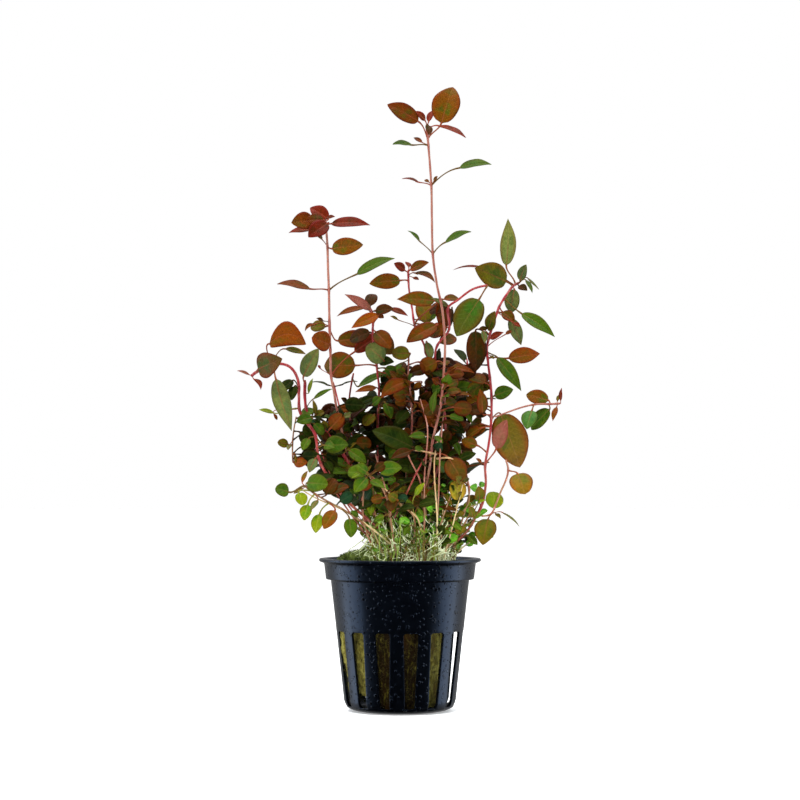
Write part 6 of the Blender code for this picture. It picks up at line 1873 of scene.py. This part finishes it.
@dataclass
class FootGrowth:
    """Moss blades, loose wool fibres, pale hair roots, thin stalks and seedlings round the stems' feet."""

    seed: int = 11
    roots: int = 200
    root_steps: int = 12
    stalks: int = 76
    stalk_steps: int = 10
    leafy_steps: tuple[int, ...] = (4, 6, 8, 10)
    seedlings: int = 150
    radius: float = 19.0

    @staticmethod
    def blade_shape(name: str, length: float, width: float, bend: float, cuts: int = 3) -> Piece:
        """Make a slim closed blade that stands on its foot, to be sown.

        Args:
            name: Its name.
            length: Its height.
            width: Its width at the foot.
            bend: How far its tip leans.
            cuts: How many three-cornered sections it has below the tip.

        Returns:
            The blade, not settled.
        """
        points = []
        for cut in range(cuts):
            t = cut / cuts
            half, y, z = width / 2 * (1 - t * 0.75), bend * t * t, length * t
            points.extend((Vector((-half, y, z)), Vector((half, y, z)), Vector((0.0, y + half, z))))
        points.append(Vector((0.0, bend, length)))
        rings = [*(range(3 * cut, 3 * cut + 3) for cut in range(cuts)), (3 * cuts,) * 3]
        faces = [face for low, high in zip(rings, rings[1:]) for face in bridge(low, high, closed=True)]
        return put(raw_mesh(name, points, [*faces, (2, 1, 0)]), name)

    def sow(self, name: str, finish: Finish, patch: Piece, shape: Piece, per_cm: float, sizes: Pair,
            tilt: float) -> None:
        """Sow a shape over a patch of the plug and settle the result.

        Args:
            name: The new piece's name.
            finish: Its finish.
            patch: The surface, removed afterwards.
            shape: What is sown, removed afterwards.
            per_cm: How many on a square centimetre.
            sizes: The smallest and largest size.
            tilt: The greatest lean in radians.
        """
        values = {"Shape": shape, "Per Area": per_cm * 1e4, "Least": sizes[0], "Most": sizes[1], "Tilt": tilt,
                  "Seed": self.seed, "Finish": finish.material()}
        piece = grow(patch, sown_tufts(), values, name)
        bpy.data.objects.remove(shape)
        settle(piece)

    @staticmethod
    def threads(name: str, paths: Sequence[Sequence[Vector]], finish: Finish, slot: str, foot: float, end: float,
                sides: int) -> None:
        """Sweep thin threads along paths and settle them as one piece.

        Args:
            name: The piece's name.
            paths: Each thread's points.
            finish: Its finish.
            slot: The record's material slot. It is not used.
            foot: The radius at its first point.
            end: The radius at its last point.
            sides: Corners of the round section.
        """
        points, thick, edges = [], [], []
        for path in paths:
            steps = range(len(path) - 1)
            edges.extend((len(points) + place, len(points) + place + 1) for place in steps)
            thick.extend(foot + (end - foot) * place / len(steps) for place in range(len(path)))
            points.extend(path)
        line = raw_mesh(f"{name}_line", points, [], edges)
        line.attributes.new("thick", "FLOAT", "POINT").data.foreach_set("value", thick)
        settle(grow(put(line, line.name), stalk_tube(), {"Sides": sides, "Finish": finish.material()}, name))

    def hair_roots(self, stems: Sequence[Stem]) -> None:
        """Grow pale hair roots from the low joints of the stems down over the moss.

        Args:
            stems: The stems that are already laid out.
        """
        own = random.Random(self.seed)
        paths = []
        for number in range(self.roots):
            start = own.choice(stems).at_height(own.uniform(54, 72)).copy()
            if number % 2 == 0 or math.hypot(start.x, start.y) > 15:
                start = Vector((own.uniform(-11, 19), own.uniform(-17, -4), own.uniform(54, 68)))
            turn, reach, curl = own.uniform(-math.pi, math.pi), own.uniform(5, 15), own.uniform(0.6, 2.4)
            end = start + Vector((math.cos(turn) * reach, math.sin(turn) * reach * 0.8, 0.0))
            end *= min(1.0, self.radius / math.hypot(end.x, end.y))
            end.z = PLUG.top(end.x, end.y) - 0.3
            path = []
            for step in range(self.root_steps + 1):
                t = step / self.root_steps
                shake = Vector((math.sin(8 * t + number), math.cos(6 * t + number), 0.5 * math.sin(9 * t + number)))
                path.append(start.lerp(end, t) + shake * curl * math.sin(math.pi * t))
            paths.append(path)
        self.threads("hair_roots", paths, ROOT_HAIR, "pale_stem", foot=0.17, end=0.11, sides=5)

    def young_stalks(self) -> None:
        """Grow thin young stalks that lean and cross each other, with small leaves in pairs."""
        own = random.Random(self.seed + 2)
        tints = mixed(GREEN=4, FRESH=6, LIME=4, DARK=2, OLIVE=2, UMBER=1, STRAW=1)
        spray, paths = GrownMesh(list(dict.fromkeys(tints))), []
        for _ in range(self.stalks):
            foot = Vector((own.uniform(-8, 18), own.uniform(-13, 9), 0.0))
            foot.z = PLUG.top(foot.x, foot.y) - 0.8
            top = foot + Vector((0.4 * (foot.x - 3) + own.uniform(-9, 9), own.uniform(-8, 5), own.uniform(7, 27)))
            bow = Vector((own.uniform(-2.5, 2.5), own.uniform(-2, 2), 0.0))
            shares = [step / self.stalk_steps for step in range(self.stalk_steps + 1)]
            path = [foot.lerp(top, share) + bow * math.sin(math.pi * share) for share in shares]
            paths.append(path)
            tint = own.choice(tints)
            for place in self.leafy_steps:
                way = own.uniform(0, FULL_TURN)
                for turn in (way, way + math.pi):
                    out = round_the_axis(turn, height=own.uniform(0.0, 0.7)).normalized()
                    size = own.uniform(2.6, 5.0)
                    base = path[place] + out * size * 0.3
                    facing = face_on(out, own.uniform(0, 80), base)
                    Leaf(path[place], out, base, base + out * size, facing, size * own.uniform(0.58, 0.85),
                         own.uniform(-1, 1), own.uniform(0, 2), petiole_half=0.16, grid=TINY_GRID).grow(spray, tint)
        for name, share, bark in (("pale", paths[::2], Bark.YOUNG), ("pink", paths[1::2], Bark.PINK)):
            self.threads(f"young_stalks_{name}", share, bark.finish, bark.slot, foot=0.34, end=0.18, sides=6)
        spray.finish("young_leaves", "green_leaf")

    def front_stalks(self) -> None:
        """Grow the thin bare stalks that are seen in front of the crowded middle."""
        for bark in (Bark.YOUNG, Bark.PINK, Bark.RED):
            routes = [route for own_bark, route in FRONT_STALKS if own_bark is bark]
            paths = [smooth_path([sight(*point) for point in route], steps=6) for route in routes]
            name = f"front_stalks_{bark.name.lower()}"
            self.threads(name, paths, bark.finish, bark.slot, foot=0.33, end=0.20, sides=8)

    def seedling_leaves(self) -> None:
        """Grow bright seedling leaves in pairs among the moss."""
        own = random.Random(self.seed + 1)
        spray = GrownMesh([Tint.LIME, Tint.GREEN, Tint.FRESH])
        for number in range(self.seedlings):
            x, y = own.uniform(-9, 22), own.uniform(-20, 0)
            if math.hypot(x, y) > self.radius + 2:
                continue
            foot = Vector((x, y, PLUG.top(x, y) - 0.4))
            head = foot + Vector((own.uniform(-2, 2), own.uniform(-1.5, 0.5), 2.0 + 12.0 * own.random() ** 1.4))
            way = own.uniform(0, math.pi)
            for turn in (way, way + math.pi):
                out = round_the_axis(turn, height=0.45).normalized()
                base = head + out * 0.8
                size = own.uniform(1.8, 3.6)
                Leaf(foot, (head - foot).normalized(), base, base + out * size, (UP - out * out.z).normalized(),
                     size * 0.62, own.uniform(-1, 1), number * 0.3, petiole_half=0.14,
                     grid=TINY_GRID).grow(spray, spray.tints[number % 3])
        spray.finish("seedling_leaves", "green_leaf")

    def build(self, stems: Sequence[Stem]) -> None:
        """Build everything at the foot.

        Args:
            stems: The stems that are already laid out.
        """
        blade = self.blade_shape("moss_blade", length=1.15, width=0.20, bend=0.5)
        mossy = PLUG.patch("moss_patch", low=50.0, high=70.0, mossy=0.5)
        self.sow("moss_blades", MOSS_BLADES, mossy, blade, per_cm=900, sizes=(0.6, 1.5), tilt=0.7)
        fibre = self.blade_shape("wool_fibre", length=2.2, width=0.11, bend=0.9)
        woolly = PLUG.patch("wool_patch", low=4.5, high=80.0, mossy=0.0)
        self.sow("wool_fibres", WOOL_FIBRE, woolly, fibre, per_cm=110, sizes=(0.4, 1.0), tilt=1.2)
        self.hair_roots(stems)
        self.young_stalks()
        self.front_stalks()
        self.seedling_leaves()


# The studio


@dataclass
class Studio:
    """A white room of paper and soft boxes, with the camera in front."""

    eye: Triple = (0.0, -0.9, 0.085)
    aim: Triple = (0.0, 0.0, 0.1067)
    lens: float = 117.7
    sensor: float = 36.0
    cool: Triple = (0.74, 0.86, 1.0)
    white: Triple = (1.0, 1.0, 1.0)
    floor_half_mm: float = 4000.0
    foot_spread: float = 6.0

    @staticmethod
    def hang(name: str, data: bpy.types.ID, place: Triple, aim: Triple) -> Piece:
        """Place a camera or a lamp that points at something.

        Args:
            name: Its name.
            data: The camera or the light.
            place: Where it hangs, in metres.
            aim: What it points at.

        Returns:
            The placed object.
        """
        hung = bpy.data.objects.new(name, data)
        bpy.context.scene.collection.objects.link(hung)
        hung.location = place
        hung.rotation_euler = (Vector(aim) - Vector(place)).to_track_quat("-Z", "Y").to_euler()
        return hung

    def camera(self) -> None:
        """Place the camera where the photo was taken from."""
        data = bpy.data.cameras.new("camera")
        data.lens = self.lens
        data.sensor_width = self.sensor
        bpy.context.scene.camera = self.hang("camera", data, self.eye, self.aim)

    def soft_box(self, name: str, place: Triple, aim: Triple, size: Pair, watts: float, colour: Triple) -> Piece:
        """Hang a rectangular soft light.

        Args:
            name: Its name.
            place: Where it hangs, in metres.
            aim: What it points at.
            size: Its width and height.
            watts: Its power.
            colour: Its colour in linear light.

        Returns:
            The lamp.
        """
        data = bpy.data.lights.new(name, "AREA")
        data.shape = "RECTANGLE"
        data.size, data.size_y = size
        data.energy = watts
        data.color = colour
        return self.hang(name, data, place, aim)

    @staticmethod
    def room() -> None:
        """Light the room: white behind and above, dimmer from the camera's side."""
        world = bpy.data.worlds.new("white_room")
        bpy.context.scene.world = world
        world.use_nodes = True
        tree = world.node_tree
        tree.nodes.clear()
        _, y, z = add(tree, Kind.SPLIT, add(tree, Kind.SKYWARD)).node.outputs
        fade = add(tree, Kind.EASE, y, 0.25, 0.80, 0.90, 0.42)
        behind = add(tree, Kind.TIMES, add(tree, Kind.EASE, y, -0.40, 0.35), fade)
        above = add(tree, Kind.EASE, z, 0.25, 0.90, 0.0, 0.5)
        below = add(tree, Kind.EASE, z, -0.85, -0.40)
        bright = add(tree, Kind.TIMES, add(tree, Kind.PLUS, behind, above), below)
        light, plain = (add(tree, Kind.GLOW, (1, 1, 1, 1), strength) for strength in (bright, 1.0))
        mix = add(tree, Kind.CHOICE, add(tree, Kind.SEEN), light, plain)
        feed(tree.nodes.new("ShaderNodeOutputWorld"), {"Surface": mix})

    def floor(self) -> None:
        """Lay the paper floor."""
        far = self.floor_half_mm
        corners = [Vector((x, y, 0.0)) for x, y in ((-far, -far), (far, -far), (far, far), (-far, far))]
        mesh = raw_mesh("paper_floor", corners, [(0, 1, 2, 3)])
        mesh.materials.append(PAPER.material())
        floor = put(mesh, mesh.name)
        # A black pot would mirror the white paper in front of it, which the dark set in the photo doesn't do
        floor.visible_glossy = False

    def build(self) -> None:
        """Set up the camera, the lights and the floor."""
        bpy.context.scene.view_settings.view_transform = "Standard"
        self.camera()
        self.room()
        self.floor()
        self.soft_box("left_box", (-0.77, 0.03, 0.25), (0.0, 0.0, 0.25), (0.60, 1.2), 5.2, self.cool)
        self.soft_box("right_box", (0.77, 0.03, 0.25), (0.0, 0.0, 0.25), (0.54, 1.2), 4.8, self.cool)
        self.soft_box("top_box", (0.0, 0.0, 1.1), (0.0, 0.0, 0.0), (0.8, 0.8), 9.0, self.white)
        front = self.soft_box("front_box", (-0.25, -0.8, 1.0), (0.0, 0.0, 0.1), (0.3, 0.3), 11.0, self.white)
        # A narrow, faint light that brings out the pale roots at the plant's foot
        foot = self.soft_box("foot_box", (0.10, -0.72, 0.14), (0.0, -0.01, 0.060), (0.10, 0.03), 0.014, self.white)
        foot.data.spread = math.radians(self.foot_spread)
        for lamp in (front, foot):
            lamp.visible_glossy = False


def main() -> None:
    """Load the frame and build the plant."""
    logging.basicConfig(level=logging.INFO, format="%(name)s %(message)s")
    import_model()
    Studio().build()
    NetPot().build()
    PLUG.build()
    stems = [Stem(plan) for plan in STEMS]
    for stem in stems:
        stem.build()
    Undergrowth().build(stems)
    FootGrowth().build(stems)


if __name__ == "__main__":
    main()
